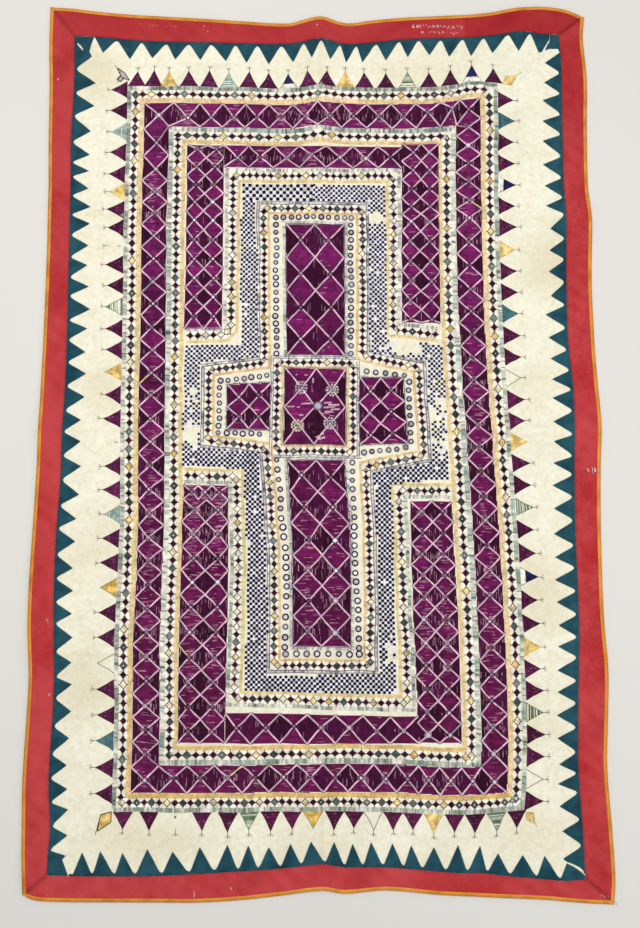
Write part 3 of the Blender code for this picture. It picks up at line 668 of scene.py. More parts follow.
def inside(points, outline):
    """Which points lie inside a closed outline."""
    x, y = points[..., 0], points[..., 1]
    found = np.zeros(x.shape, bool)
    for (ax, ay), (bx, by) in zip(outline, np.roll(outline, -1, axis=0)):
        if ay != by:
            crosses = (ay > y) != (by > y)
            found ^= crosses & (x < ax + (bx - ax) * (y - ay) / (by - ay))
    return found


def sideways(steps):
    """Directions a quarter turn to the right of others."""
    return np.stack([-steps[..., 1], steps[..., 0]], axis=-1)


def ringed(points):
    """Closed outline with its first point again at its end."""
    return np.concatenate([points, points[:1]])


def offset_line(points, distance, closed=False):
    """Line beside another one, to its right as it runs, with mitred corners."""
    points = np.asarray(points, float)
    steps = np.roll(points, -1, axis=0) - points
    steps /= np.maximum(np.linalg.norm(steps, axis=1), 1e-9)[:, None]
    before = np.roll(steps, 1, axis=0)
    if not closed:
        steps[-1] = steps[-2]
        before[0] = steps[0]
    total = sideways(steps) + sideways(before)
    scale = 2.0 / np.maximum((total ** 2).sum(axis=1), 0.8)
    return points + total * scale[:, None] * distance


def step_lengths(points):
    """Length of each part of a line."""
    return np.linalg.norm(np.diff(points, axis=0), axis=1)


def points_along(points, places):
    """Points at distances along a line, with the line's direction at each."""
    lengths = step_lengths(points)
    reached = np.concatenate([[0.0], np.cumsum(lengths)])
    found = np.stack([np.interp(places, reached, points[:, k]) for k in (0, 1)], axis=-1)
    i = np.clip(np.searchsorted(reached, places, side="right") - 1, 0, len(lengths) - 1)
    return found, np.diff(points, axis=0)[i] / np.maximum(lengths[i], 1e-9)[:, None]


def even_points(points, step, ends=True):
    """Points at an even spacing along a line, with the line's direction at each."""
    points = np.asarray(points, float)
    length = np.cumsum(step_lengths(points))[-1]
    count = max(1, round(length / step))
    share = np.arange(count + 1) / count if ends else (np.arange(count) + 0.5) / count
    return points_along(points, share * length)


def straight_runs(points, bend=30.0):
    """Index pairs of a line's runs between its sharp corners."""
    steps = np.diff(points, axis=0)
    angles = np.degrees(np.arctan2(steps[:, 1], steps[:, 0]))
    turns = np.abs((np.diff(angles) + 180) % 360 - 180)
    stops = [0] + [i + 1 for i, turn in enumerate(turns) if turn > bend] + [len(points) - 1]
    return list(zip(stops, stops[1:]))


# ---------------------------------------------------------------- height of the cloth

def hump(distance, reach):
    """Smooth rise from 0 at the reach to 1 in the middle."""
    share = np.clip(np.abs(distance) / reach, 0.0, 1.0)
    return 0.5 * (1 + np.cos(math.pi * share))


def cloth_lift(x, y):
    """Height of the underside above the surface that the quilt lies on."""
    squares = np.zeros(np.broadcast(x, y).shape)
    for axis, centre, half_width, start, middle, end in RIDGES:
        across, along, length = (y, x, QUILT_WIDTH) if axis == "x" else (x, y, QUILT_LENGTH)
        run = ((0, start), (length / 2, middle), (length, end))
        squares = squares + (hump(across - centre, half_width)
                             * smooth_value(run, along)) ** 2
    for centre_x, centre_y, radius, height in LIFTS:
        distance = np.hypot(x - centre_x, y - centre_y)
        squares = squares + (hump(distance, radius) * height) ** 2
    return np.sqrt(squares)


def crease_relief(x, y):
    """Creases and puckers of the washed cloth, softer inside the stiff stitched field."""
    left, top, right, bottom = FIELD_BOX
    field = 1.0
    for depth in (x - left, right - x, y - top, bottom - y):
        field = field * np.clip(depth / FIELD_EDGE, 0, 1)
    relief = 0.16 * mottle(x, y, 85, 3) + 0.1 * mottle(x, y, 36, 4)
    for axis, centre, *_ in RIDGES:
        across, along = (y, x) if axis == "x" else (x, y)
        wander = 2.4 * np.sin(along / 61) + 1.3 * np.sin(along / 19 + centre)
        sharp = np.exp(-((across - centre - wander) / CREASE_HALF_WIDTH) ** 2)
        relief = relief + sharp * (0.75 + 0.25 * np.sin(along / 47 + centre))
    return relief * (1.0 - FIELD_CALM * field)


def cloth_face(x, y):
    """Height of the ground cloth's face above the surface that the quilt lies on."""
    return GROUND_THICKNESS + cloth_lift(x, y) + crease_relief(x, y)


def world(points, heights):
    """Points in metres from points and heights in the quilt's own millimetres."""
    points = np.asarray(points, float)
    heights = np.broadcast_to(np.asarray(heights, float), points.shape[:-1])
    down = points[..., 1] - QUILT_CENTRE[1]
    across = points[..., 0] - QUILT_CENTRE[0] + SKEW * down
    return np.stack([across, -down, heights], axis=-1) * MM


# ---------------------------------------------------------------- stitches

def colour(code):
    """Linear colour from a six-figure screen colour."""
    values = [int(code[i:i + 2], 16) / 255 for i in (0, 2, 4)]
    return tuple(v / 12.92 if v <= 0.04045 else ((v + 0.055) / 1.055) ** 2.4
                 for v in values)


def shade_of(name):
    """A thread colour as an array, from its name or its code."""
    return np.array(colour(SHADES.get(name, name)))


class Stitches:
    """Straight stitches gathered for one piece: ends, widths, heights and colours."""

    def __init__(self):
        self.rows = []

    def add(self, starts, stops, girth, height, tint):
        """Add stitches between points, with one width, height and colour or one each."""
        starts = np.asarray(starts, float).reshape(-1, 2)
        stops = np.asarray(stops, float).reshape(-1, 2)
        count = len(starts)
        self.rows.append((
            starts,
            stops,
            np.broadcast_to(np.asarray(girth, float), (count,)),
            np.broadcast_to(np.asarray(height, float), (count,)),
            np.broadcast_to(np.asarray(tint, float), (count, 3)),
        ))

    def gathered(self):
        """All the stitches as five arrays, without those too short to sew."""
        starts, stops, girths, heights, tints = (
            np.concatenate([row[k] for row in self.rows]) for k in range(5))
        kept = np.linalg.norm(stops - starts, axis=1) > SHORTEST_STITCH
        return starts[kept], stops[kept], girths[kept], heights[kept], tints[kept]


def fill_lines(outline, angle, pitch):
    """Parallel lines that fill an outline, which each of them crosses only once."""
    outline = np.asarray(outline, float)
    c, s = math.cos(angle), math.sin(angle)
    turn = np.array([[c, s], [-s, c]])
    local = outline @ turn.T
    low, high = local[:, 1].min(), local[:, 1].max()
    count = max(1, round((high - low) / pitch))
    levels = low + (np.arange(count) + 0.5) * (high - low) / count
    first = np.full(count, np.inf)
    last = np.full(count, -np.inf)
    for (ax, ay), (bx, by) in zip(local, np.roll(local, -1, axis=0)):
        if ay == by:
            continue
        t = (levels - ay) / (by - ay)
        hit = (t >= 0) & (t <= 1)
        x = ax + (bx - ax) * t
        first = np.where(hit & (x < first), x, first)
        last = np.where(hit & (x > last), x, last)
    found = last > first
    starts = np.stack([first, levels], axis=-1)[found] @ turn
    stops = np.stack([last, levels], axis=-1)[found] @ turn
    return starts, stops


def blend_tints(first, second, share):
    """Colours part of the way from one to another, one for each share."""
    first, second = np.asarray(first, float), np.asarray(second, float)
    return first + (second - first) * np.asarray(share, float)[:, None]


def band_stitches(batch, outer, inner, pitch, slant, girth, height, tints_at, rng):
    """Fill the band between two lines with slanting stitches, piece by piece."""
    for i in range(len(outer) - 1):
        cell = np.array([outer[i], outer[i + 1], inner[i + 1], inner[i]])
        step = outer[i + 1] + inner[i + 1] - outer[i] - inner[i]
        angle = math.atan2(step[1], step[0]) + math.pi / 2 + slant
        starts, stops = fill_lines(cell, angle, pitch)
        middle = (starts + stops) / 2
        tints = tints_at(middle, rng)
        batch.add(starts, stops, girth, height, tints)


# ---------------------------------------------------------------- geometry node trees

def start_tree(name, sizes):
    """Node tree with geometry in and out, a finish, and named inputs for its sizes."""
    tree = bpy.data.node_groups.new(name, "GeometryNodeTree")
    face = tree.interface
    kinds = {int: "Int", float: "Float", type(None): "Object"}
    face.new_socket("Geometry", in_out="INPUT", socket_type="NodeSocketGeometry")
    face.new_socket("Finish", in_out="INPUT", socket_type="NodeSocketMaterial")
    for label, default in sizes.items():
        kind = "NodeSocket" + kinds[type(default)]
        socket = face.new_socket(label, in_out="INPUT", socket_type=kind)
        if default is not None:
            socket.default_value = default
    face.new_socket("Geometry", in_out="OUTPUT", socket_type="NodeSocketGeometry")
    return tree, tree.nodes.new("NodeGroupInput")


def add_node(tree, kind, links=None, **values):
    """Node with its values set and its inputs linked; a node stands for its first output."""
    node = tree.nodes.new(kind)
    for name, value in values.items():
        setattr(node, name, value)
    for name, source in (links or {}).items():
        if hasattr(source, "outputs"):
            source = source.outputs[0]
        if hasattr(source, "links"):
            tree.links.new(source, node.inputs[name])
        else:
            node.inputs[name].default_value = source
    return node


def stored_number(tree, name):
    """Number that the guide holds at each of its points."""
    return add_node(tree, "GeometryNodeInputNamedAttribute", {"Name": name}, data_type="FLOAT")


def guide_curve(tree, group):
    """The guide's edges as a curve that is held upright."""
    curve = add_node(tree, "GeometryNodeMeshToCurve", {"Mesh": group})
    return add_node(tree, "GeometryNodeSetCurveNormal", {"Curve": curve}, mode="Z_UP")


def end_tree(tree, group, shape, smooth):
    """Last nodes of a tree: plain geometry with its finish."""
    shaded = add_node(tree, "GeometryNodeSetShadeSmooth",
                      {"Geometry": shape, "Shade Smooth": smooth})
    plain = add_node(tree, "GeometryNodeRealizeInstances", {"Geometry": shaded})
    finished = add_node(tree, "GeometryNodeSetMaterial",
                        {"Geometry": plain, "Material": group.outputs["Finish"]})
    add_node(tree, "NodeGroupOutput", {"Geometry": finished})
    return tree


@lru_cache(maxsize=None)
def thread_tree():
    """Tree that turns each edge of a guide mesh into a stitch with a low ridge."""
    tree, group = start_tree("stitch_each_edge", {"Sides": 3, "Flatness": 0.62})
    girth = stored_number(tree, "girth")
    upright = guide_curve(tree, group)
    circle = add_node(tree, "GeometryNodeCurvePrimitiveCircle",
                      {"Resolution": group.outputs["Sides"], "Radius": 1.0})
    scale = add_node(tree, "ShaderNodeCombineXYZ",
                     {"X": group.outputs["Flatness"], "Y": 1.0, "Z": 1.0})
    flat = add_node(tree, "GeometryNodeTransform", {"Geometry": circle, "Scale": scale})
    turned = add_node(tree, "GeometryNodeTransform",
                      {"Geometry": flat, "Rotation": (0.0, 0.0, -math.pi / 2)})
    tube = add_node(tree, "GeometryNodeCurveToMesh",
                    {"Curve": upright, "Profile Curve": turned, "Scale": girth,
                     "Fill Caps": True})
    return end_tree(tree, group, tube, False)


def unit_tree(name, sizes, build, smooth):
    """Tree that puts one small unit on each point of a guide mesh."""
    tree, group = start_tree(name, sizes)
    unit = build(tree, *(group.outputs[label] for label in sizes))
    turn, size = stored_number(tree, "turn"), stored_number(tree, "girth")
    rotation = add_node(tree, "ShaderNodeCombineXYZ", {"Z": turn})
    points = add_node(tree, "GeometryNodeInstanceOnPoints",
                      {"Points": group, "Instance": unit, "Rotation": rotation,
                       "Scale": size})
    return end_tree(tree, group, points, smooth)


def pad(tree, corners, base, face, depth):
    """Low pad with sloping sides."""
    return add_node(tree, "GeometryNodeMeshCone",
                    {"Vertices": corners, "Radius Top": face, "Radius Bottom": base,
                     "Depth": depth})


def square_tree():
    """Tree for the little counted squares."""
    def build(tree, base, face, depth):
        square = pad(tree, 4, base, face, depth)
        return add_node(tree, "GeometryNodeTransform",
                        {"Geometry": square, "Rotation": (0.0, 0.0, math.pi / 4)})

    sizes = {"Base radius": 0.0032, "Top radius": 0.0022, "Height": 0.0008}
    return unit_tree("square_each_point", sizes, build, False)


def mirror_tree():
    """Tree for the thin mirror discs, sized as shares of their width."""
    def build(tree, edge, face, depth):
        return pad(tree, 14, edge, face, depth)

    sizes = {"Edge radius": 0.5, "Face radius": 0.45, "Thickness": 0.09}
    return unit_tree("mirror_each_point", sizes, build, False)


def rim_tree():
    """Tree for the stitched rims that hold the mirrors."""
    def build(tree, ring_radius, thread_radius):
        path, profile = (
            add_node(tree, "GeometryNodeCurvePrimitiveCircle",
                     {"Resolution": count, "Radius": radius})
            for count, radius in ((14, ring_radius), (5, thread_radius)))
        return add_node(tree, "GeometryNodeCurveToMesh",
                        {"Curve": path, "Profile Curve": profile})

    sizes = {"Ring radius": 0.5, "Thread radius": 0.13}
    return unit_tree("rim_each_point", sizes, build, True)


@lru_cache(maxsize=None)
def tape_tree():
    """Tree that carries a folded tape's section along the edge of the quilt."""
    tree, group = start_tree("tape_along_edge", {"Section": None})
    upright = guide_curve(tree, group)
    section = add_node(tree, "GeometryNodeObjectInfo", {"Object": group.outputs["Section"]})
    tape = add_node(tree, "GeometryNodeCurveToMesh",
                    {"Curve": upright, "Profile Curve": section.outputs["Geometry"],
                     "Fill Caps": True})
    return end_tree(tree, group, tape, True)


def linked(name, data):
    """Object in the scene that shows a mesh, a curve, a light or a camera."""
    item = bpy.data.objects.new(name, data)
    bpy.context.scene.collection.objects.link(item)
    return item


def store(mesh, attributes):
    """Store numbers and colours on the points of a mesh."""
    for label, values in attributes.items():
        kind, key = ("FLOAT_COLOR", "color") if values.ndim == 2 else ("FLOAT", "value")
        if values.ndim == 2:
            values = np.concatenate([values, np.ones((len(values), 1))], axis=1)
        kept = mesh.attributes.new(label, kind, "POINT")
        kept.data.foreach_set(key, values.astype(np.float32).ravel())


def guide_mesh(name, places, edges, attributes):
    """Object that a node tree works on, with its numbers stored on the points."""
    mesh = bpy.data.meshes.new(name)
    mesh.vertices.add(len(places))
    mesh.vertices.foreach_set("co", np.ascontiguousarray(places, np.float32).ravel())
    if len(edges):
        mesh.edges.add(len(edges))
        mesh.edges.foreach_set("vertices", np.ascontiguousarray(edges, np.int32).ravel())
    store(mesh, attributes)
    mesh.update()
    return linked(name, mesh)


def grown(guide, tree, name, values):
    """Piece made by a node tree on a guide, as a plain mesh; the guide is removed."""
    modifier = guide.modifiers.new("growth", "NODES")
    modifier.node_group = tree
    for item in tree.interface.items_tree:
        if item.item_type == "SOCKET" and item.in_out == "INPUT" and item.name in values:
            modifier[item.identifier] = values[item.name]
    graph = bpy.context.evaluated_depsgraph_get()
    mesh = bpy.data.meshes.new_from_object(guide.evaluated_get(graph))
    guide.modifiers.clear()
    source = guide.data
    bpy.data.objects.remove(guide)
    bpy.data.meshes.remove(source)
    if not mesh.polygons:
        raise RuntimeError(name + " has no faces")
    mesh.name = name
    for label in ("girth", "turn"):
        if label in mesh.attributes:
            mesh.attributes.remove(mesh.attributes[label])
    return linked(name, mesh)


def by_hand(points):
    """Points moved a little, all together, as lines sewn by eye wander."""
    x, y = points[..., 0], points[..., 1]
    moved = [value + 1.1 * mottle(x, y, 120, 70 + k) + 0.5 * mottle(x, y, 31, 72 + k)
             for k, value in enumerate((x, y))]
    return np.stack(moved, axis=-1)


def bends(starts, stops):
    """Number of straight parts that each stitch needs to follow the cloth's humps."""
    low, high = cloth_face(*starts.T), cloth_face(*stops.T)
    sag = np.max([cloth_face(*(starts + (stops - starts) * part).T)
                  - low - (high - low) * part for part in (0.25, 0.5, 0.75)], axis=0)
    return np.where(sag > SAGS[1], 4, np.where(sag > SAGS[0], 2, 1))


def sewn(batch, name, material, free=True):
    """Piece made of all the stitches of a batch, draped on the cloth's face."""
    starts, stops, girths, heights, tints = batch.gathered()
    if free:
        starts, stops = by_hand(starts), by_hand(stops)
    parts = bends(starts, stops)
    first = np.concatenate([[0], np.cumsum(parts + 1)[:-1]])
    owner = np.repeat(np.arange(len(parts)), parts + 1)
    share = (np.arange(len(owner)) - first[owner]) / parts[owner]
    ends = starts[owner] + (stops - starts)[owner] * share[:, None]
    places = world(ends, cloth_face(*ends.T) + heights[owner] + STITCHED[name][1])
    inner = np.delete(np.arange(len(owner)), first + parts)
    edges = np.stack([inner, inner + 1], axis=-1)
    guide = guide_mesh(name, places, edges, {
        "girth": girths[owner] * MM,
        "tint": tints[owner],
    })
    return grown(guide, thread_tree(), name, {"Finish": material})


def placed(points, name, tree, material, turns, sizes, heights, tints):
    """Piece made of one small unit at each point, on the cloth's face."""
    points = by_hand(np.asarray(points, float))
    count = len(points)
    places = world(points, cloth_face(points[:, 0], points[:, 1]) + heights)
    guide = guide_mesh(name, places, (), {
        "turn": np.broadcast_to(np.asarray(turns, float), (count,)),
        "girth": np.broadcast_to(np.asarray(sizes, float), (count,)),
        "tint": np.broadcast_to(np.asarray(tints, float), (count, 3)),
    })
    return grown(guide, tree, name, {"Finish": material})


# ---------------------------------------------------------------- finishes

def start_material(name, roughness, sheen=0.0):
    """Material with a rough cloth shader, ready for its nodes."""
    material = bpy.data.materials.new(name)
    material.use_nodes = True
    shader = material.node_tree.nodes["Principled BSDF"]
    shader.inputs["Roughness"].default_value = roughness
    shader.inputs["Sheen Weight"].default_value = sheen
    shader.inputs["Sheen Roughness"].default_value = 0.5
    shader.inputs["Specular IOR Level"].default_value = 0.08
    place = material.node_tree.nodes.new("ShaderNodeTexCoord")
    return material, material.node_tree, shader, place.outputs["Object"]


def noise(tree, place, size, detail=3.0):
    """Soft noise with patches of about a size in metres."""
    node = add_node(tree, "ShaderNodeTexNoise",
                    {"Vector": place, "Scale": 1.0 / size, "Detail": detail})
    return node.outputs["Fac"]


def mapped(tree, value, low, high, new_low, new_high):
    """Value moved from one range to another and held inside it."""
    node = add_node(tree, "ShaderNodeMapRange",
                    {"Value": value, "From Min": low, "From Max": high,
                     "To Min": new_low, "To Max": new_high})
    return node.outputs["Result"]


def mixed(tree, share, first, second, blend_type="MIX"):
    """Two colours mixed by a share."""
    node = tree.nodes.new("ShaderNodeMix")
    node.data_type = "RGBA"
    node.blend_type = blend_type
    for socket, value in zip((node.inputs[0], node.inputs[6], node.inputs[7]),
                             (share, first, second)):
        if hasattr(value, "links"):
            tree.links.new(value, socket)
        elif hasattr(value, "__len__"):
            socket.default_value = (*value[:3], 1.0)
        else:
            socket.default_value = value
    return node.outputs[2]


def stripes(tree, place, pitch, direction, distortion=1.5):
    """Fine ridges across one direction, as threads lie in a cloth."""
    node = add_node(tree, "ShaderNodeTexWave",
                    {"Vector": place, "Scale": math.pi / (10 * pitch),
                     "Distortion": distortion, "Detail": 1.0},
                    bands_direction=direction)
    return node.outputs["Fac"]


def tinted(tree, shader, first, second):
    """Two colours multiplied, as the shader's own colour."""
    final = mixed(tree, 1.0, first, second, "MULTIPLY")
    tree.links.new(final, shader.inputs["Base Color"])


def bumped(tree, shader, height, strength, depth):
    """Small relief on a shader from a height."""
    node = add_node(tree, "ShaderNodeBump",
                    {"Height": height, "Strength": strength, "Distance": depth})
    tree.links.new(node.outputs["Normal"], shader.inputs["Normal"])


def attribute(tree, name, output):
    """A number or colour stored on the mesh."""
    node = tree.nodes.new("ShaderNodeAttribute")
    node.attribute_name = name
    return node.outputs[output]


def woven_relief(tree, shader, place, pitch, strength):
    """Plain weave: two sets of threads that cross."""
    warp = stripes(tree, place, pitch, "X")
    weft = stripes(tree, place, pitch, "Y")
    weave = add_node(tree, "ShaderNodeMath", {0: warp, 1: weft}, operation="MULTIPLY")
    bumped(tree, shader, weave, strength, 0.0004)


def cotton_finish(name, base, faded, deep, weave_pitch, strength):
    """Washed plain-woven cotton: uneven dye, faded and deep patches, and its weave. The stored
    stain also holds painted shade, and the tape's wear painted light.
    """
    material, tree, shader, place = start_material(name, 0.92, 0.02)
    broad = mapped(tree, noise(tree, place, 0.11), 0.35, 0.68, 0.0, 1.0)
    close = mapped(tree, noise(tree, place, 0.012, 5.0), 0.3, 0.7, 0.0, 0.55)
    uneven_dye = mixed(tree, broad, base, faded)
    mottled = mixed(tree, close, uneven_dye, deep)
    # Wear pales the cloth and stains darken it; the same marks also paint the light and shade of
    # creases, edges and the tape.
    worn = mixed(tree, attribute(tree, "wear", "Fac"), mottled, faded)
    stained_and_shaded = mixed(tree, attribute(tree, "stain_and_shade", "Fac"), worn, deep)
    slubs = mapped(tree, noise(tree, place, 0.0016, 2.0), 0.3, 0.7, 0.86, 1.1)
    tinted(tree, shader, stained_and_shaded, slubs)
    woven_relief(tree, shader, place, weave_pitch, strength)
    return material


def floss_finish(name, roughness, sheen, fibre, spread, gloss):
    """Embroidery thread: each stitch has its own shade, with twisted fibres."""
    material, tree, shader, place = start_material(name, roughness, sheen)
    shader.inputs["Specular IOR Level"].default_value = gloss
    tint = attribute(tree, "tint", "Color")
    shade = mapped(tree, noise(tree, place, 0.004, 4.0), 0.3, 0.7, 1 - spread, 1 + spread)
    blotch = mapped(tree, noise(tree, place, 0.014, 3.0), 0.35, 0.65, 1 - 1.6 * spread,
                    1 + 1.6 * spread)
    blotched = mixed(tree, 1.0, tint, blotch, "MULTIPLY")
    tinted(tree, shader, blotched, shade)
    twist = stripes(tree, place, fibre, "DIAGONAL", 3.0)
    bumped(tree, shader, twist, 0.35, 0.0002)
    return material


def mirror_finish():
    """Old mirror glass: silvered, a little clouded and spotted."""
    material, tree, shader, place = start_material("mirror_glass", 0.2)
    shader.inputs["Metallic"].default_value = 0.3
    tint = attribute(tree, "tint", "Color")
    cloud = mapped(tree, noise(tree, place, 0.003, 4.0), 0.35, 0.65, 0.65, 1.1)
    tinted(tree, shader, tint, cloud)
    dull = mapped(tree, noise(tree, place, 0.005, 3.0), 0.3, 0.7, 0.12, 0.42)
    tree.links.new(dull, shader.inputs["Roughness"])
    return material


# Threads: roughness, sheen, pitch of the fibres, how far the shades spread, and gloss.
FLOSSES = {
    "silk_floss": (0.5, 0.03, 0.0005, 0.2, 0.22),
    "cotton_floss": (0.8, 0.0, 0.0006, 0.11, 0.1),
    "gold_floss": (0.65, 0.0, 0.0006, 0.1, 0.15),
    "counted_floss": (0.8, 0.0, 0.0007, 0.15, 0.1),
    "sewing_thread": (0.75, 0.0, 0.0004, 0.1, 0.1),
}


@lru_cache(maxsize=None)
def finish(name):
    """One of the threads' finishes or the mirrors', made once."""
    if name in FLOSSES:
        return floss_finish(name, *FLOSSES[name])
    return mirror_finish()


# ---------------------------------------------------------------- settings

def size_setting(name, description, default):
    """A length that a user may change, in metres."""
    return FloatProperty(name=name, description=description, default=default,
                         min=0.0002, unit="LENGTH", precision=5)


def colour_setting(name, description, code):
    """A colour that a user may change."""
    return FloatVectorProperty(name=name, description=description, default=colour(code),
                               min=0.0, max=1.0, size=3, subtype="COLOR")


class ClothSettings(PropertyGroup):
    """Sizes and colours of the cloths."""

    ground_colour: colour_setting("Ground", "Colour of the pale ground cloth", "F7F4E0")
    # The ground stain colour also paints the shade along the creases.
    ground_stain_and_shade: colour_setting("Ground stain", "Colour of its aged patches", "DFD0A8")
    teeth_colour: colour_setting("Teeth", "Colour of the saw-tooth strips", "1C4452")
    teeth_faded: colour_setting("Faded teeth", "Colour where the teeth faded", "2C5A66")
    border_colour: colour_setting("Border", "Colour of the border strips", "BC2B30")
    border_faded: colour_setting("Faded border", "Colour where the border faded", "CB4A4C")
    tape_colour: colour_setting("Tape", "Colour of the edge tape", "E2800F")
    # The worn tape colour also paints the light on the tape's top.
    tape_faded: colour_setting("Worn tape", "Colour of the tape's worn fold", "EEA040")
    ground_step: size_setting("Ground step", "Spacing of the ground cloth's mesh", 0.010)
    strip_step: size_setting("Strip step", "Spacing of the strips' mesh", 0.012)
    tape_thickness: size_setting("Tape cloth", "Thickness of the tape's cloth", 0.0008)


class StitchSettings(PropertyGroup):
    """Sizes and colours of the stitching."""

    satin_pitch: size_setting("Satin pitch", "Spacing of the satin threads", 0.0017)
    fill_pitch: size_setting("Band pitch", "Spacing of the stitches in the bands", 0.0024)
    chain_pitch: size_setting("Chain pitch", "Spacing of the little diamonds", 0.0176)
    cord_width: size_setting("Cord width", "Width of the lattice's pink cords", 0.0040)
    square_size: size_setting("Square size", "Width of the counted squares", 0.0062)
    mirror_width: size_setting("Mirror width", "Width of the mirrors in rows", 0.0086)
    # Bright and dark satin are lit and shaded copies of one purple silk: painted sheen of the two
    # thread directions.
    sheen_lit_satin: colour_setting("Bright satin", "Purple of the upright cells", "86206C")
    sheen_shaded_satin: colour_setting("Dark satin", "Maroon of the level cells", "3A0428")
    worn_satin: colour_setting("Worn satin", "Pale rose of the worn threads", "CFA0B4")
    cord_colour: colour_setting("Cords", "Pink of the lattice's cords", "EAC6D6")
    white_floss: colour_setting("White", "White of the scallops and lines", "F6F2E6")
    gold_floss: colour_setting("Gold", "Yellow of the plaited bands", "E8D89E")
    peach_floss: colour_setting("Cream gold", "Cream of the other plaited bands", "F0D5AA")
    dark_floss: colour_setting("Dark", "Maroon of the diamonds and outlines", "3A0F26")
    navy_floss: colour_setting("Navy", "Blue of the counted squares", "0F0B26")


class StageSettings(PropertyGroup):
    """The floor, the lights and the camera."""

    floor_colour: colour_setting("Floor", "Colour of the plain floor", "E4E1DA")
    key_power: FloatProperty(name="Main light", description="Power of the broad light",
                             default=65.0, min=0.0, unit="POWER")
    fill_power: FloatProperty(name="Side light", description="Power of the low light",
                              default=16.0, min=0.0, unit="POWER")
    world_strength: FloatProperty(name="Room light", description="Light from all round",
                                  default=0.55, min=0.0)
    focal: FloatProperty(name="Focal length", description="Focal length for the sensor",
                         default=23.276, min=1.0, unit="CAMERA")


def settings(name):
    """One group of the scene's settings."""
    return getattr(bpy.context.scene, "quilt_" + name)


def tint_of(name):
    """A colour setting of the stitches as an array."""
    return np.array(getattr(settings("stitch"), name)[:], float)


def millimetres(group, name):
    """A size setting in millimetres."""
    return getattr(settings(group), name) / MM


def dress(piece, slot, *nodes):
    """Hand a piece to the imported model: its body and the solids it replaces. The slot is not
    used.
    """
    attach(piece, BODY)
    if nodes:
        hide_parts(*nodes)
    return piece


# ---------------------------------------------------------------- cloths

def cloth_piece(name, vertices, faces, material, marks):
    """Object of a closed piece of cloth with its wear and stains stored on it, painted light and
    shade among them.
    """
    mesh = bpy.data.meshes.new(name)
    mesh.from_pydata(vertices.tolist(), [], faces)
    mesh.materials.append(material)
    mesh.shade_smooth()
    store(mesh, marks)
    mesh.update()
    return linked(name, mesh)


def grid_faces(rows, columns):
    """Faces of a closed sheet: an upper grid, a lower grid and the rim between them."""
    index = np.arange(rows * columns).reshape(rows, columns)
    a, b, c, d = index[:-1, :-1], index[:-1, 1:], index[1:, 1:], index[1:, :-1]
    upper = np.stack([a, d, c, b], axis=-1).reshape(-1, 4)
    lower = np.stack([a, b, c, d], axis=-1).reshape(-1, 4) + rows * columns
    rim = np.concatenate([index[0, :-1], index[:-1, -1], index[-1, :0:-1], index[:0:-1, 0]])
    after = np.roll(rim, -1)
    wall = np.stack([rim, after, after + rows * columns, rim + rows * columns], axis=-1)
    return np.concatenate([upper, lower, wall]).tolist()


# Span of the ground cloth's mesh across and down the quilt.
GROUND_SPAN = ((12, 1338), (20, 2130))


def ground_marks(first, last, step, creases):
    """Shares along one axis of the ground cloth, closer together at its creases."""
    reach, fine_step = CREASE_MESH
    marks = list(np.arange(first, last, step)) + [last]
    for centre in creases:
        marks = [m for m in marks if abs(m - centre) > reach + 2]
        marks += list(np.arange(centre - reach, centre + reach + 1, fine_step))
    return (np.array(sorted(marks)) - first) / (last - first)


def ground_grid(step):
    """Points of the ground cloth in rows from its top edge to its bottom edge."""
    inset = BINDING_WIDTH + PIECE_GAP
    creases_x = [row[1] for row in RIDGES if row[0] == "y"]
    creases_y = [row[1] for row in RIDGES if row[0] == "x"]
    u = ground_marks(*GROUND_SPAN[0], step, creases_x)
    v = ground_marks(*GROUND_SPAN[1], step, creases_y)
    sides = {}
    for side, shares in (("top", u), ("bottom", u), ("left", v), ("right", v)):
        start, stop = run_of(side, edge_points, inset)
        sides[side] = edge_points(side, start + (stop - start) * shares, inset)
    top, bottom = sides["top"][None], sides["bottom"][None]
    left, right = sides["left"][:, None], sides["right"][:, None]
    u, v = u[None, :, None], v[:, None, None]
    corners = ((1 - v) * ((1 - u) * top[:, :1] + u * top[:, -1:])
               + v * ((1 - u) * bottom[:, :1] + u * bottom[:, -1:]))
    return (1 - v) * top + v * bottom + (1 - u) * left + u * right - corners


def ground_cloth(material):
    """Ground cloth: one sheet with its storage creases, puckers and stains, and painted shade
    along the creases.
    """
    grid = ground_grid(millimetres("cloth", "ground_step"))
    rows, columns = grid.shape[:2]
    points = grid.reshape(-1, 2)
    x, y = points[:, 0], points[:, 1]
    under = cloth_lift(x, y)
    vertices = np.concatenate([world(points, cloth_face(x, y)), world(points, under)])
    stain_and_shade = np.clip(patches(STAINED_GROUND, x, y) + 0.22 * mottle(x, y, 210, 11), 0, 0.75)
    # Painted shade: the stain is made darker along each storage crease.
    crease_shade = np.zeros(len(points))
    for axis, centre, *_ in RIDGES:
        crease_shade = np.maximum(crease_shade, np.exp(-(((y if axis == "x" else x) - centre) / 5) ** 2))
    stain_and_shade = np.clip(stain_and_shade * 0.8 + 0.22 * crease_shade, 0, 0.8)
    wear = np.clip(0.5 + 0.5 * mottle(x, y, 60, 12), 0, 1) * 0.3
    return cloth_piece("quilt_ground", vertices, grid_faces(rows, columns), material, {
        "stain_and_shade": np.concatenate([stain_and_shade, stain_and_shade * 0.6]),
        "wear": np.concatenate([wear, wear]),
    })


# Rows of a border strip's mesh, as shares of its width, closer together at its edges.
STRIP_ROWS = (0.0, 0.03, 0.12, 0.3, 0.5, 0.7, 0.88, 0.97, 1.0)

# The top border is darker and less worn from here to its right end.
TOP_BORDER_CHANGE = 1047


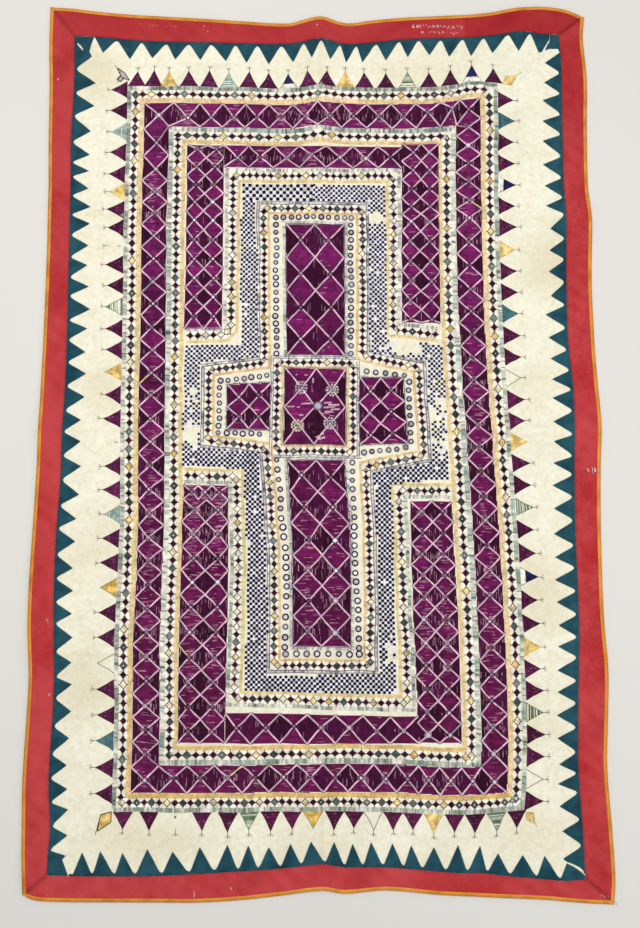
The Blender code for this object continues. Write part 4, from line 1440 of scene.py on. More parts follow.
def strip_grid(side, step):
    """Points of a mitred border strip between the tape and the seam, row by row."""
    inset = BINDING_WIDTH + PIECE_GAP
    outer, inner = run_of(side, edge_points, inset), run_of(side, seam_points, 0)
    count = max(2, round((outer[1] - outer[0]) / step) + 1)
    shares = np.linspace(0, 1, count)
    rows = []
    for (start, stop), line, depth in ((outer, edge_points, inset), (inner, seam_points, 0)):
        start, stop = start + MITRE_GAP, stop - MITRE_GAP
        rows.append(line(side, start + (stop - start) * shares, depth))
    across = np.array(STRIP_ROWS)[:, None, None]
    return rows[0][None] * (1 - across) + rows[1][None] * across


def signed_area(outline):
    """Area of a closed outline, above zero where it runs clockwise on the quilt."""
    x, y = outline[:, 0], outline[:, 1]
    return np.sum(x * np.roll(y, -1) - y * np.roll(x, -1)) / 2


def outline_size(outline):
    """Length of an outline's longer side in metres, and its area in square metres."""
    length = float(np.ptp(outline, axis=0).max()) * MM
    return length, float(abs(signed_area(outline))) * MM * MM


def border_strip(side, material):
    """Border strip: a sheet with soft edges, small puckers and faded stretches, and painted shade
    along its edges.
    """
    grid = strip_grid(side, millimetres("cloth", "strip_step"))
    if side in ("bottom", "right"):
        grid = grid[::-1]
    if side in ("left", "right"):
        grid = grid.transpose(1, 0, 2)
    rows, columns = grid.shape[:2]
    points = grid.reshape(-1, 2)
    x, y = points[:, 0], points[:, 1]
    base = cloth_face(x, y) + LAYER_GAP
    row, column = np.divmod(np.arange(len(points)), columns)
    rim = np.minimum(np.minimum(row, rows - 1 - row), np.minimum(column, columns - 1 - column))
    soft = np.where(rim == 0, 0.55, np.where(rim == 1, 0.95, 1.0))
    along, across = (x, y) if side in ("top", "bottom") else (y, x)
    pucker = 0.22 * np.sin(along / 5.3 + 1.2 * np.sin(across / 9)) * (rim < 3)
    top = base + BORDER_THICKNESS * soft + pucker * (rim > 0)
    vertices = np.concatenate([world(points, top), world(points, base)])
    wear = np.clip(0.32 + 0.4 * mottle(x, y, 230, 21) + 0.25 * mottle(x, y, 45, 22), 0, 1)
    if side in ("left", "bottom"):
        wear = np.clip(wear + 0.25, 0, 1)
    if side == "top":
        wear = np.where(x < TOP_BORDER_CHANGE, np.clip(wear + 0.35, 0, 1), wear * 0.3)
    # Mottled stains, and painted shade: the outermost row of points, along the strip's edges, is
    # darker.
    stain_and_shade = np.clip(0.25 * mottle(x, y, 120, 23), 0, 0.5) + 0.35 * (rim == 0)
    # Each border is made darker towards the top of the quilt; the bottom one is not.
    darker_to_top = {"top": np.where(x < TOP_BORDER_CHANGE, 0.42, 0.6), "bottom": 0,
            "right": 0.4 * np.clip(1 - y / 700, 0, 1),
            "left": 0.3 * np.clip(1 - y / 1800, 0.2, 1)}[side]
    stain_and_shade = np.clip(stain_and_shade + darker_to_top, 0, 1)
    piece = cloth_piece("border_cloth_" + side, vertices, grid_faces(rows, columns),
                        material, {"wear": np.tile(wear, 2), "stain_and_shade": np.tile(stain_and_shade, 2)})
    outline = np.concatenate([grid[0], grid[1:-1, -1], grid[-1, ::-1], grid[-2:0:-1, 0]])
    return piece, outline


def tooth_outline(side):
    """Saw-tooth strip: hand-cut teeth between the two ends that fill the corners."""
    def stop_line(neighbour, along):
        return seam_points(neighbour, along, 2 * PIECE_GAP)

    def end_row(along, depth, end):
        if along is END:
            along = strip_ends(side, lambda s: seam_points(side, s, depth), stop_line)[end]
        return along, depth

    outer = strip_ends(side, lambda s: seam_points(side, s, PIECE_GAP), stop_line)
    starts, stops = STRIP_ENDS[side]
    outer[0] = outer[0] if starts[0][0] is END else starts[0][0]
    outer[1] = outer[1] if stops[-1][0] is END else stops[-1][0]
    count = max(2, round((outer[1] - outer[0]) / 20))
    outer_row = seam_points(side, np.linspace(*outer, count), PIECE_GAP)
    inner = [end_row(*row, 0) for row in starts]
    before = None
    for tip, across, valley in TEETH[side]:
        reach = abs(across - smooth_value(SIDES[side], tip, 2))
        if before is not None:
            inner.append((before, TOOTH_ROOT))
            inner += tooth_rows(tip, before, reach)
        inner.append((tip, reach))
        if tip != TEETH[side][-1][0]:
            inner += tooth_rows(tip, valley, reach)[::-1]
        before = valley
    inner += [end_row(*row, 1) for row in stops]
    table = np.array(inner, float)
    inner_row = seam_points(side, table[:, 0], table[:, 1])
    return np.concatenate([outer_row, inner_row[::-1]]), table[:, 1].max()


def tooth_rows(tip, valley, reach):
    """Points of one slanting side of a tooth, from the valley to its tip."""
    return [(tip + (valley - tip) * width, TOOTH_ROOT + (reach - TOOTH_ROOT) * part)
            for part, width in TOOTH_SPIRE]


def gap_to_outline(points, outline):
    """Distance from each point to the nearest side of a closed outline."""
    nearest = np.full(len(points), np.inf)
    for a, b in zip(outline, np.roll(outline, -1, axis=0)):
        side = b - a
        t = np.clip(((points - a) @ side) / max(side @ side, 1e-9), 0, 1)
        gap = np.linalg.norm(points - a - t[:, None] * side, axis=1)
        nearest = np.minimum(nearest, gap)
    return nearest


# Spacing of a saw-tooth strip's mesh across and down, width of its turned-under edge, and
# how far the points of that edge and the loose points stay from the outline.
TOOTH_MESH = (9.0, 6.0)
TURNED_EDGE = 1.6
TOOTH_CLEARANCE = (1.2, 3.4)


def tooth_strip(side, material):
    """Saw-tooth strip: cut cloth with its edge turned under, sewn flat to the ground."""
    outline, depth = tooth_outline(side)
    outline = np.concatenate([
        np.linspace(a, b, max(1, math.ceil(np.linalg.norm(b - a) / TOOTH_MESH[0])), endpoint=False)
        for a, b in zip(outline, np.roll(outline, -1, axis=0))])
    low, high = outline.min(axis=0), outline.max(axis=0)
    x, y = np.meshgrid(*(np.arange(low[k], high[k], TOOTH_MESH[k]) for k in (0, 1)))
    loose = np.stack([x.ravel(), y.ravel()], axis=-1)
    steps = np.roll(outline, -1, axis=0) - outline
    normals = np.stack([steps[:, 1], -steps[:, 0]], axis=-1)
    normals /= np.maximum(np.linalg.norm(steps, axis=1), 1e-9)[:, None]
    middles = outline + steps / 2
    near = np.concatenate([middles + normals * TURNED_EDGE, middles - normals * TURNED_EDGE])
    near = near[inside(near, outline)]
    near = near[gap_to_outline(near, outline) > TOOTH_CLEARANCE[0]]
    loose = loose[inside(loose, outline)]
    loose = loose[gap_to_outline(loose, outline) > TOOTH_CLEARANCE[1]]
    given = [tuple(p) for p in np.concatenate([outline, near, loose]).tolist()]
    count = len(outline)
    edges = [(i, (i + 1) % count) for i in range(count)]
    corners, _, triangles, sources, *_ = delaunay_2d_cdt(given, edges, [], 1, 0.001)
    place = {source: k for k, group in enumerate(sources) for source in group}
    rim = np.array([place[i] for i in range(count)])
    points = np.array([tuple(p) for p in corners])
    x, y = points[:, 0], points[:, 1]
    base = cloth_face(x, y) + LAYER_GAP
    soft = np.clip(gap_to_outline(points, outline) / TURNED_EDGE, 0.35, 1.0)
    top = base + SAWTOOTH_THICKNESS * soft + 0.12 * mottle(x, y, 22, 31)
    vertices = np.concatenate([world(points, top), world(points, base)])
    faces = []
    for a, b, c in triangles:
        turn = ((points[b][0] - points[a][0]) * (points[c][1] - points[a][1])
                - (points[b][1] - points[a][1]) * (points[c][0] - points[a][0]))
        a, b, c = (a, b, c) if turn < 0 else (a, c, b)
        faces += [(a, b, c), (a + len(points), c + len(points), b + len(points))]
    order = rim if signed_area(outline) > 0 else rim[::-1]
    for a, b in zip(order, np.roll(order, -1)):
        faces.append((int(a), int(b), int(b) + len(points), int(a) + len(points)))
    wear = np.clip(0.3 + 0.45 * mottle(x, y, 90, 32), 0, 0.9)
    stain_and_shade = np.clip(0.5 * mottle(x, y, 40, 33), 0, 0.5)
    piece = cloth_piece("tooth_strip_" + side, vertices, faces, material,
                        {"wear": np.tile(wear, 2), "stain_and_shade": np.tile(stain_and_shade, 2)})
    return piece, outline, depth


def tape_section(thickness):
    """Curve of the folded tape's section, which the tree turns over onto the edge."""
    t, top, lip = thickness / MM, BINDING_THICKNESS, BINDING_WIDTH + 1.1
    rows = (
        (lip, top - 0.1), (BINDING_WIDTH - 2, top + 0.15), (5.5, top), (2.2, top - 0.1),
        (0.8, top - 0.8), (0.1, top - 2.0), (0.0, 1.8), (0.7, 0.5), (2.0, 0.0), (6.0, 0.0),
        (BINDING_WIDTH - 0.4, 0.0), (BINDING_WIDTH - 0.4, t), (6.0, t), (2.3, t + 0.1),
        (1.3, t + 0.5), (0.9, 2.1), (0.9, top - 2.1), (1.5, top - t - 0.7),
        (2.6, top - t), (BINDING_WIDTH - 1.0, top - t), (BINDING_WIDTH, top - 0.42),
        (lip, top - 0.42),
    )
    curve = bpy.data.curves.new("tape_section", "CURVE")
    curve.dimensions = "2D"
    spline = curve.splines.new("POLY")
    spline.points.add(len(rows) - 1)
    for point, (x, y) in zip(spline.points, rows):
        point.co = (-x * MM, -y * MM, 0.0, 1.0)
    spline.use_cyclic_u = True
    return linked("tape_section", curve)


# How far the tapes stay inside the edge of the quilt, beside them and at the side's ends.
TAPE_EDGE_GAP = 0.3
TAPE_END_GAP = 0.2


def edge_tape(side, material, section, step):
    """Folded tape along one edge, bent to the cloth's lift, with small sewn puckers, painted shade
    on its outer side and painted light on its top.
    """
    end_inset = TAPE_END_GAP if side in ("left", "right") else BINDING_WIDTH + PIECE_GAP

    def stop_line(neighbour, along):
        return edge_points(neighbour, along, end_inset)

    start, stop = strip_ends(side, lambda s: edge_points(side, s, TAPE_EDGE_GAP), stop_line)
    count = max(2, round((stop - start) / step) + 1)
    path = edge_points(side, np.linspace(start, stop, count), TAPE_EDGE_GAP)
    if side in ("top", "right"):
        path = path[::-1]
    guide = guide_mesh("tape_guide", world(path, 0.0),
                       np.stack([np.arange(count - 1), np.arange(1, count)], axis=-1), {})
    piece = grown(guide, tape_tree(), "edge_tape_" + side,
                  {"Finish": material, "Section": section})
    mesh = piece.data
    places = np.zeros(len(mesh.vertices) * 3, np.float32)
    mesh.vertices.foreach_get("co", places)
    places = places.reshape(-1, 3).astype(float)
    y = QUILT_CENTRE[1] - places[:, 1] / MM
    x = places[:, 0] / MM + QUILT_CENTRE[0] - SKEW * (y - QUILT_CENTRE[1])
    share = np.clip(places[:, 2] / MM / BINDING_THICKNESS, 0, 1)
    pucker = 0.16 * mottle(x, y, 17, 41) + 0.1 * mottle(x, y, 7, 42)
    places[:, 2] += (cloth_lift(x, y) + share * (crease_relief(x, y) + pucker)) * MM
    mesh.vertices.foreach_set("co", places.astype(np.float32).ravel())
    # Wear, and painted light: the higher a point of the tape, the paler it is made.
    wear = np.clip(0.35 + 0.45 * mottle(x, y, 70, 43) + 0.3 * share, 0, 1)
    along = {"top": y - smooth_value(SIDES["top"], x),
             "bottom": smooth_value(SIDES["bottom"], x) - y,
             "left": x - smooth_value(SIDES["left"], y),
             "right": smooth_value(SIDES["right"], y) - x}[side]
    # Painted shade: darker within a few millimetres of the quilt's outer edge; mottled stains on
    # top of it.
    stain_and_shade = np.clip(0.85 - along / 5.0, 0, 0.7) + np.clip(0.25 * mottle(x, y, 30, 44), 0, 1)
    store(mesh, {"wear": wear, "stain_and_shade": np.clip(stain_and_shade, 0, 0.9)})
    mesh.update()
    return piece, path


# ---------------------------------------------------------------- lattices

def band_lattice():
    """Cells, cords and crossings of the lattice in the outer band, once round."""
    cells, cords, crossings = [], [], []
    edge, inner_edge = FRAME_WIDTH - 1.0, FRAME_WIDTH + BAND_WIDTH - 0.5
    for side in CLOCKWISE:
        level = side in ("top", "bottom")
        marks = spaced(BAND_CROSSINGS[side])
        along = marks[:, 0 if level else 1]
        middles = (along[:-1] + along[1:]) / 2
        outer = field_points(side, middles, edge)
        inner = field_points(side, middles, inner_edge)
        corners = [("left", side), ("right", side)] if level else [
            (side, "top"), (side, "bottom")]
        outer_ends = [corner(field_points, *pair, edge) for pair in corners]
        inner[0], inner[-1] = (corner(field_points, *pair, inner_edge) for pair in corners)
        between, beside = ("dark", "bright") if level else ("bright", "dark")
        last = len(marks) - 1
        for k in range(last):
            cells.append(((marks[k], outer[k], marks[k + 1], inner[k]), between))
        for k in range(1, last):
            cells.append(((outer[k - 1], marks[k], outer[k]), beside))
            cells.append(((inner[k - 1], marks[k], inner[k]), beside))
        cells.append(((outer_ends[0], marks[0], outer[0]), beside))
        cells.append(((outer[-1], marks[-1], outer_ends[1]), beside))
        for k, crossing in enumerate(marks):
            if k < last:
                cords.append((outer[k], crossing))
            if k > 0:
                cords.append((outer[k - 1], crossing))
            if 0 < k < last:
                cords += [(inner[k], crossing), (inner[k - 1], crossing)]
        if level:
            cords += [(outer_ends[0], marks[0]), (outer_ends[1], marks[-1]),
                      (inner[0], marks[0]), (inner[-1], marks[-1])]
        crossings += list(marks if level else marks[1:-1])
        cords += [(inner[0], marks[1]), (inner[-1], marks[-2])] if not level else []
    return cells, cords, crossings


def block_lattice(left, right, rows):
    """Cells, cords and crossings of one block of lattice."""
    numbers = [row[0] for row in rows]
    marks = np.array([row[1:] for row in rows], float)
    every = np.arange(numbers[-1] + 1)
    crossings = np.stack([
        np.stack([np.interp(every, numbers, marks[:, c, k]) for k in (0, 1)], axis=-1)
        for c in range(marks.shape[1])], axis=1)
    left, right = np.array(left, float), np.array(right, float)
    count, width = crossings.shape[:2]
    nodes = np.zeros((count + 1, width + 1, 2))
    if count > 1:
        nodes[1:-1, 1:-1] = (crossings[:-1, :-1] + crossings[1:, :-1]
                             + crossings[:-1, 1:] + crossings[1:, 1:]) / 4
    for column, edge, own in ((0, left, crossings[:, 0]), (-1, right, crossings[:, -1])):
        places = np.concatenate([[edge[0, 0]], (own[:-1, 1] + own[1:, 1]) / 2,
                                 [edge[-1, 0]]])
        nodes[:, column, 1] = places
        nodes[:, column, 0] = np.interp(places, edge[:, 0], edge[:, 1])
    for row, own in ((0, crossings[0]), (-1, crossings[-1])):
        x = (own[:-1, 0] + own[1:, 0]) / 2
        nodes[row, 1:-1, 0] = x
        nodes[row, 1:-1, 1] = np.interp(x, nodes[row, (0, -1), 0], nodes[row, (0, -1), 1])
    cells, cords = [], []
    for r in range(count):
        for c in range(width):
            own = crossings[r, c]
            around = (nodes[r, c], nodes[r, c + 1], nodes[r + 1, c], nodes[r + 1, c + 1])
            cords += [(node, own) for node in around]
            if r == 0:
                cells.append(((around[0], around[1], own), "bright"))
            if r == count - 1:
                cells.append(((around[2], own, around[3]), "bright"))
            else:
                cells.append(((own, around[3], crossings[r + 1, c], around[2]), "bright"))
            if c == 0:
                cells.append(((around[0], own, around[2]), "dark"))
            if c == width - 1:
                cells.append(((around[1], around[3], own), "dark"))
            else:
                cells.append(((own, around[1], crossings[r, c + 1], around[3]), "dark"))
    return cells, cords, list(crossings.reshape(-1, 2))


@lru_cache(maxsize=None)
def lattice_work():
    """Cells, cords, plain crossings and rosettes of all the lattices."""
    cells, cords, crossings = band_lattice()
    rosettes = []
    for number, (left, right, rows) in enumerate(BLOCKS):
        block_cells, block_cords, block_crossings = block_lattice(left, right, rows)
        cells += block_cells
        cords += block_cords
        if number == ROSETTE_BLOCK:
            rosettes += block_crossings
        else:
            crossings += block_crossings
    return cells, cords, np.array(crossings), np.array(rosettes)


def block_outlines():
    """Closed outline of each block of lattice, clockwise from its top left corner."""
    for left, right, _ in BLOCKS:
        down = [(x, y) for y, x in right]
        up = [(x, y) for y, x in reversed(left)]
        yield np.array(up[-1:] + down + up[:-1], float)


def satin_cells(material):
    """Satin stitching of the cells: level threads in bright ones, upright in dark ones, bright and
    dark being painted sheen of one silk.
    """
    rng = draws("satin_cells")
    pitch = millimetres("stitch", "satin_pitch")
    bright, dark = tint_of("sheen_lit_satin"), tint_of("sheen_shaded_satin")
    worn_tint = tint_of("worn_satin")
    batch = Stitches()
    for cell, kind in lattice_work()[0]:
        angle = 0.0 if kind == "bright" else math.pi / 2
        starts, stops = fill_lines(np.array(cell), angle, pitch)
        if not len(starts):
            continue
        middle = (starts + stops) / 2
        count = len(starts)
        shift = rng.uniform(0.0, 1.0)
        # Painted sheen: bright cells take the lit purple, dark cells the shaded maroon.
        if kind == "bright":
            maroon = 0.1 + 0.5 * ramp(middle[:, 1], *MAROON_FROM)
            tints = blend_tints(bright, dark, np.full(count, 0.5 * shift ** 2))
            tints = tints + (shade_of("wine") - tints) * maroon[:, None]
        else:
            tints = blend_tints(dark, bright, np.full(count, 0.3 * shift))
        shade = 1.0 + 0.16 * rng.standard_normal(count) + 0.1 * mottle(
            middle[:, 0], middle[:, 1], 60, 51)
        tints = tints * np.clip(shade, 0.55, 1.6)[:, None]
        wear = patches(WORN_SATIN, middle[:, 0], middle[:, 1])
        chance = 0.05 + 0.75 * wear + (0.05 if kind == "dark" else 0.0)
        streak = rng.uniform(0, 1, count) < chance
        height = rng.uniform(0.0, 0.12, count)
        batch.add(starts, stops, pitch * 0.7, height, tints)
        long = streak & (np.linalg.norm(stops - starts, axis=1) > 6)
        if long.any():
            run = (stops - starts)[long]
            lengths = np.linalg.norm(run, axis=1)
            part = np.minimum(rng.uniform(5, 20, len(run)) / lengths, 0.8)
            begin = rng.uniform(0, 1, len(run)) * (1 - part)
            first = starts[long] + run * begin[:, None]
            strength = rng.uniform(0.35, 1.0, (len(run), 1))
            batch.add(first, first + run * part[:, None], pitch * 0.72, 0.2,
                      tints[long] + (worn_tint - tints[long]) * strength)
    return sewn(batch, "satin_cells", material)


def stitched_cord(batch, start, stop, width, pitch, height, tint, rng):
    """Cord covered with slanting stitches from one point to another."""
    start, stop = np.asarray(start, float), np.asarray(stop, float)
    length = np.linalg.norm(stop - start)
    if length < pitch:
        return
    step = (stop - start) / length
    count = max(1, round(length / pitch))
    centres = start + (stop - start) * ((np.arange(count) + 0.5) / count)[:, None]
    c, s = math.cos(CORD_SLANT), math.sin(CORD_SLANT)
    across = np.array([step[0] * c - step[1] * s, step[0] * s + step[1] * c]) * width / 2
    shade = np.clip(1.0 + 0.07 * rng.standard_normal(count), 0.8, 1.2)
    batch.add(centres - across, centres + across, pitch * 0.62, height,
              np.asarray(tint)[None] * shade[:, None])


def lattice_cords(material):
    """Pale cords from the nodes of the lattice towards its crossings, with a painted shadow along
    each side.
    """
    rng = draws("lattice_cords")
    width = millimetres("stitch", "cord_width")
    pink = tint_of("cord_colour")
    others = np.array([colour(code) for code in ODD_CORDS])
    batch = Stitches()
    for node, crossing in lattice_work()[1]:
        length = math.dist(node, crossing)
        ends = np.array([node, crossing], float)
        step = (ends[1] - ends[0]) / length
        # Painted shadow: a thin dark stitch along each side of the cord.
        beside = np.array([sideways(step), -sideways(step)]) * (width / 2 + 0.5)
        batch.add(ends[0] + beside, ends[1] + beside, 1.3, 0.55, shade_of("cord_shadow"))
        reach = max(0.3, 1 - CORD_GAP / length)
        stop = np.asarray(node) + (np.asarray(crossing) - node) * reach
        odd = rng.uniform() < ODD_CORD_SHARE
        tint = pink * rng.uniform(0.86, 1.08) if not odd else others[rng.integers(0, 3)]
        stitched_cord(batch, node, stop, width, CORD_PITCH, 1.35, np.clip(tint, 0, 1), rng)
    for x, y, code in ROSETTES:
        rosette(batch, np.array((x, y), float), code, rng)
    for first, second in LOOSE_DASHES:
        batch.add([first], [second], 2.8, 1.2, pink * rng.uniform(0.7, 0.95))
    return sewn(batch, "lattice_cords", material)


def rosette(batch, centre, code, rng):
    """Rosette of small padded petals round a mirror or a worked middle."""
    for reach, last, count, width in ((4.8, 8.4, 8, 2.3), (10.6, 15.4, 12, 2.9)):
        turns = rng.uniform(0, 1) + np.arange(count) * 2 * math.pi / count
        ways = np.stack([np.cos(turns), np.sin(turns)], axis=-1)
        shade = rng.uniform(0.72, 1.0, (count, 1))
        batch.add(centre + ways * reach, centre + ways * last, width, 1.5,
                  shade_of(code) * shade)


# ---------------------------------------------------------------- mirrors and rosettes

# Rosettes of the middle block, and the loose pale threads between them.
ROSETTES = (
    (635, 966, "D9CDD6"), (711, 973, "E6DCD2"), (704, 1053, "DED6D8"), (627, 1060, "F3E7C4"),
)
LOOSE_DASHES = (
    ((664, 944), (664, 956)), ((636, 1005), (662, 1004)), ((602, 1012), (620, 1011)),
    ((625, 1013), (633, 1013)), ((690, 1004), (708, 1003)), ((700, 1009), (727, 1007)),
    ((689, 1014), (716, 1013)), ((706, 1019), (728, 1018)), ((692, 1025), (712, 1024)),
    ((671, 1090), (684, 1084)), ((677, 1094), (693, 1088)), ((688, 1082), (690, 1074)),
    ((632, 1034), (642, 1033)), ((622, 936), (626, 936)), ((644, 936), (651, 936)),
)

# Rows of ringed mirrors beside the cross: points along each row, and its spacing.
RING_ROWS = (
    (((573, 541), (574, 700), (575, 884)), 19.0),
    (((592, 540), (741, 540)), 19.0),
    (((757, 541), (757, 700), (757, 880)), 19.0),
    (((440, 953), (554, 938)), 19.5),
    (((438, 968), (437, 1062)), 18.5),
    (((436, 1079), (537, 1083)), 19.5),
    (((793, 923), (843, 930), (885, 933)), 23.0),
    (((896, 950), (898, 1095)), 19.5),
    (((785, 1123), (843, 1117), (885, 1110)), 20.0),
    (((578, 1143), (583, 1200), (589, 1280), (600, 1380), (602, 1420), (600, 1500),
      (598, 1585)), 23.0),
    (((758, 1147), (762, 1350), (774, 1585)), 22.0),
    (((600, 1600), (773, 1600)), 24.0),
)


@lru_cache(maxsize=None)
def mirror_places():
    """Centres, widths and brightness of every mirror, the brightness being painted reflection:
    crossings, rows and rosettes.
    """
    rng = draws("mirror_discs")
    _, _, crossings, rosettes = lattice_work()
    rows = []
    for x, y in crossings:
        near = [m for m in BRIGHT_MIRRORS if math.hypot(m[0] - x, m[1] - y) < MIRROR_REACH]
        if near:
            rows.append((x, y, GLASS_SHARE * near[0][2], rng.uniform(0.85, 1.0), 1))
        elif rng.uniform() < 0.6:
            rows.append((x, y, rng.uniform(5.0, 6.4), rng.uniform(0.35, 0.7), 1))
        else:
            rows.append((x, y, rng.uniform(4.0, 5.0), rng.uniform(0.05, 0.15), 1))
    for points, pitch in RING_ROWS:
        for x, y in even_points(points, pitch)[0]:
            # Mirrors of the rows below LOWER_RINGS are larger and get more painted shine.
            low = y > LOWER_RINGS
            rows.append((x + rng.uniform(-1, 1), y + rng.uniform(-1, 1),
                         millimetres("stitch", "mirror_width")
                         * rng.uniform(0.9, 1.15) * (1.12 if low else 1.0),
                         rng.uniform(0.3, 0.65) + (0.35 if low else 0.0), 2))
    for x, y in rosettes:
        rows.append((x, y, 6.5, 0.35, 3))
    rows.append((*ROSETTE_MIDDLE, 17.0, 0.42, 3))
    return np.array(rows)


def mirror_discs(material):
    """Thin glass discs, a few bright and most of them dim: painted reflection, and the glass's
    clouding as well.
    """
    table = mirror_places()
    painted_shine = table[:, 3:4]
    lilac, clear = shade_of("lilac_glass"), shade_of("painted_reflection_white")
    # Painted reflection: the brighter the mirror, the whiter and lighter its glass colour.
    tints = (lilac + (clear - lilac) * np.clip(painted_shine * 1.3 - 0.3, 0, 1)) * (0.35 + 0.65 * painted_shine)
    return placed(table[:, :2], "mirror_discs", mirror_tree(), material, 0.0,
                  table[:, 2] * MM, 1.0, tints)


def mirror_rims(material):
    """Stitched rims round the mirrors, mauve on the lattice and dark in the rows."""
    rng = draws("mirror_rims")
    table = mirror_places()
    points, sizes, tints = [], [], []
    for x, y, width, _, kind in table:
        tone = shade_of(RIM_TONES[int(kind)][rng.choice(3, p=RIM_SHARES)])
        points.append((x, y))
        sizes.append((width * 1.3 if kind == 2 else width + 2.0) * MM)
        tints.append(tone * rng.uniform(0.85, 1.15))
    return placed(points, "mirror_rims", rim_tree(), material, 0.0, sizes,
                  1.15, np.array(tints))


# ---------------------------------------------------------------- frames

@lru_cache(maxsize=None)
def frame_lines():
    """Every frame: its chain, gold band, plain line and name, and its diamonds' reach."""
    frames = []
    for chain, gold, plain, name in (
            (FIRST_CHAIN, FIRST_GOLD, FIRST_LINE, "outer"),
            (LAST_CHAIN, LAST_GOLD, LAST_LINE, "inner")):
        for side in CLOCKWISE:
            lines = [side_line(side, field_points, inset, 31)
                     for inset in (chain, *gold, *plain)]
            frames.append((lines[0], lines[1:3], lines[3:], name + "_" + side, CHAIN_REACH))
    for name, (gold, plain) in ARCH_LINES.items():
        chain = np.array(ARCH_CHAINS[name], float)
        lines = [offset_line(chain, gap) for gap in (*gold, *plain)]
        frames.append((chain, lines[:2], lines[2:], name + "_arch", CHAIN_REACH))
    for name, (points, gold, plain, reach) in CLOSED_FRAMES.items():
        chain = np.array(points, float)
        lines = [ringed(offset_line(chain, gap, closed=True)) for gap in (*gold, *plain)]
        frames.append((ringed(chain), lines[:2], lines[2:], name, reach))
    return frames


def diamond(centre, step, half_length, half_width):
    """Outline of a small diamond with slightly hollow sides."""
    across = sideways(step)
    tips = np.array([centre + step * half_length, centre + across * half_width,
                     centre - step * half_length, centre - across * half_width])
    middles = (tips + np.roll(tips, -1, axis=0)) / 2
    middles += (centre - middles) * 0.14
    return np.stack([tips, middles], axis=1).reshape(-1, 2)


def chain_places(chain, first, last, name):
    """Centres and directions of the diamonds of a straight run, their spacing and numbers."""
    run = chain[first:last + 1]
    length = float(step_lengths(run).sum())
    if name not in DIAMONDS:
        centres, steps = even_points(run, millimetres("stitch", "chain_pitch"), ends=False)
        return centres, steps, length / len(centres), np.arange(len(centres))
    pitch, anchor = DIAMONDS[name]
    level = 0 if name.endswith(("top", "bottom")) else 1
    shift = (anchor - run[0][level]) % pitch
    count = int((length - shift) // pitch) + 1
    places = np.minimum(shift + pitch * np.arange(count), length)
    centres, steps = points_along(run, places)
    numbers = np.round((centres[:, level] - anchor) / pitch).astype(int)
    return centres, steps, pitch, numbers


def chain_runs():
    """Each straight run of diamonds: frame, reach, centres, directions, spacing, numbers."""
    for chain, _, _, name, reach in frame_lines():
        for first, last in straight_runs(chain):
            yield (name, reach, *chain_places(chain, first, last, name))


def chain_diamonds(material):
    """Rows of small satin diamonds: maroon ones, and grey and peach ones between them."""
    rng = draws("chain_diamonds")
    maroon = tint_of("dark_floss")
    batch = Stitches()
    for name, reach, centres, steps, pitch, numbers in chain_runs():
        for number, centre, step in zip(numbers, centres, steps):
            half = reach * (0.93 + 0.07 * math.sin(number * 2.1))
            outline = diamond(centre, step, pitch * 0.5, half)
            angle = math.atan2(step[1], step[0])
            starts, stops = fill_lines(outline, angle, 1.9)
            odd = number % 2 == 0
            tint = maroon * rng.uniform(0.6, 1.5)
            if odd and rng.uniform() < MAROON_SHARES.get(name, COMMON_MAROON_SHARE):
                odd = False
            if odd:
                group = DIAMOND_TINTS["warm" if number % 6 == 0 else "grey"]
                if name.endswith("arch") and rng.uniform() < 0.6:
                    group = DIAMOND_TINTS["pale"]
                tint = shade_of(group[rng.integers(0, len(group))])
            shade = np.clip(1 + 0.14 * rng.standard_normal(len(starts)), 0.6, 1.4)
            height = rng.uniform(0.0, 0.15, len(starts))
            batch.add(starts, stops, 1.3, height, tint * shade[:, None])
            if odd:
                corners = outline[::2]
                batch.add(corners, np.roll(corners, -1, axis=0), 1.1, 0.75,
                          maroon * rng.uniform(0.7, 1.3))
                if rng.uniform() < 0.3:
                    across = sideways(step) * 1.6
                    batch.add([centre - across], [centre + across], 1.5, 0.8,
                              shade_of("cream_dot"))
    return sewn(batch, "chain_diamonds", material)


def chain_scallops(material):
    """White domes on both sides of each row of diamonds, with thin dark gaps."""
    rng = draws("chain_scallops")
    white, dark = tint_of("white_floss"), tint_of("dark_floss")
    per_dome = 6
    phases = (np.arange(per_dome) + 0.5) / per_dome - 0.5
    batch = Stitches()
    for _, reach, centres, steps, pitch, _ in chain_runs():
        across = sideways(steps)
        junctions = centres + steps * pitch / 2
        for phase in phases:
            inner = 0.6 + reach * 0.8 * abs(phase) * 2
            bulge = math.sqrt(max(0.0, 1 - (2 * phase) ** 2))
            outer = (DOME[0] + (DOME[1] - DOME[0]) * bulge) * reach / CHAIN_REACH
            if outer - inner < 0.9:
                continue
            places = junctions + steps * pitch * phase
            for sign in (-1, 1):
                shade = np.clip(1 + 0.06 * rng.standard_normal(len(places)), 0.82, 1.08)
                batch.add(places + across * sign * inner, places + across * sign * outer,
                          pitch * 0.5 / per_dome + 0.25,
                          rng.uniform(0, 0.12, len(places)),
                          np.clip(white * shade[:, None], 0, 1))
        for sign in (-1, 1):
            tips = centres + across * sign * reach * 0.9
            batch.add(tips, tips + across * sign * 2.9, 1.1, 0.3, dark)
    return sewn(batch, "chain_scallops", material)


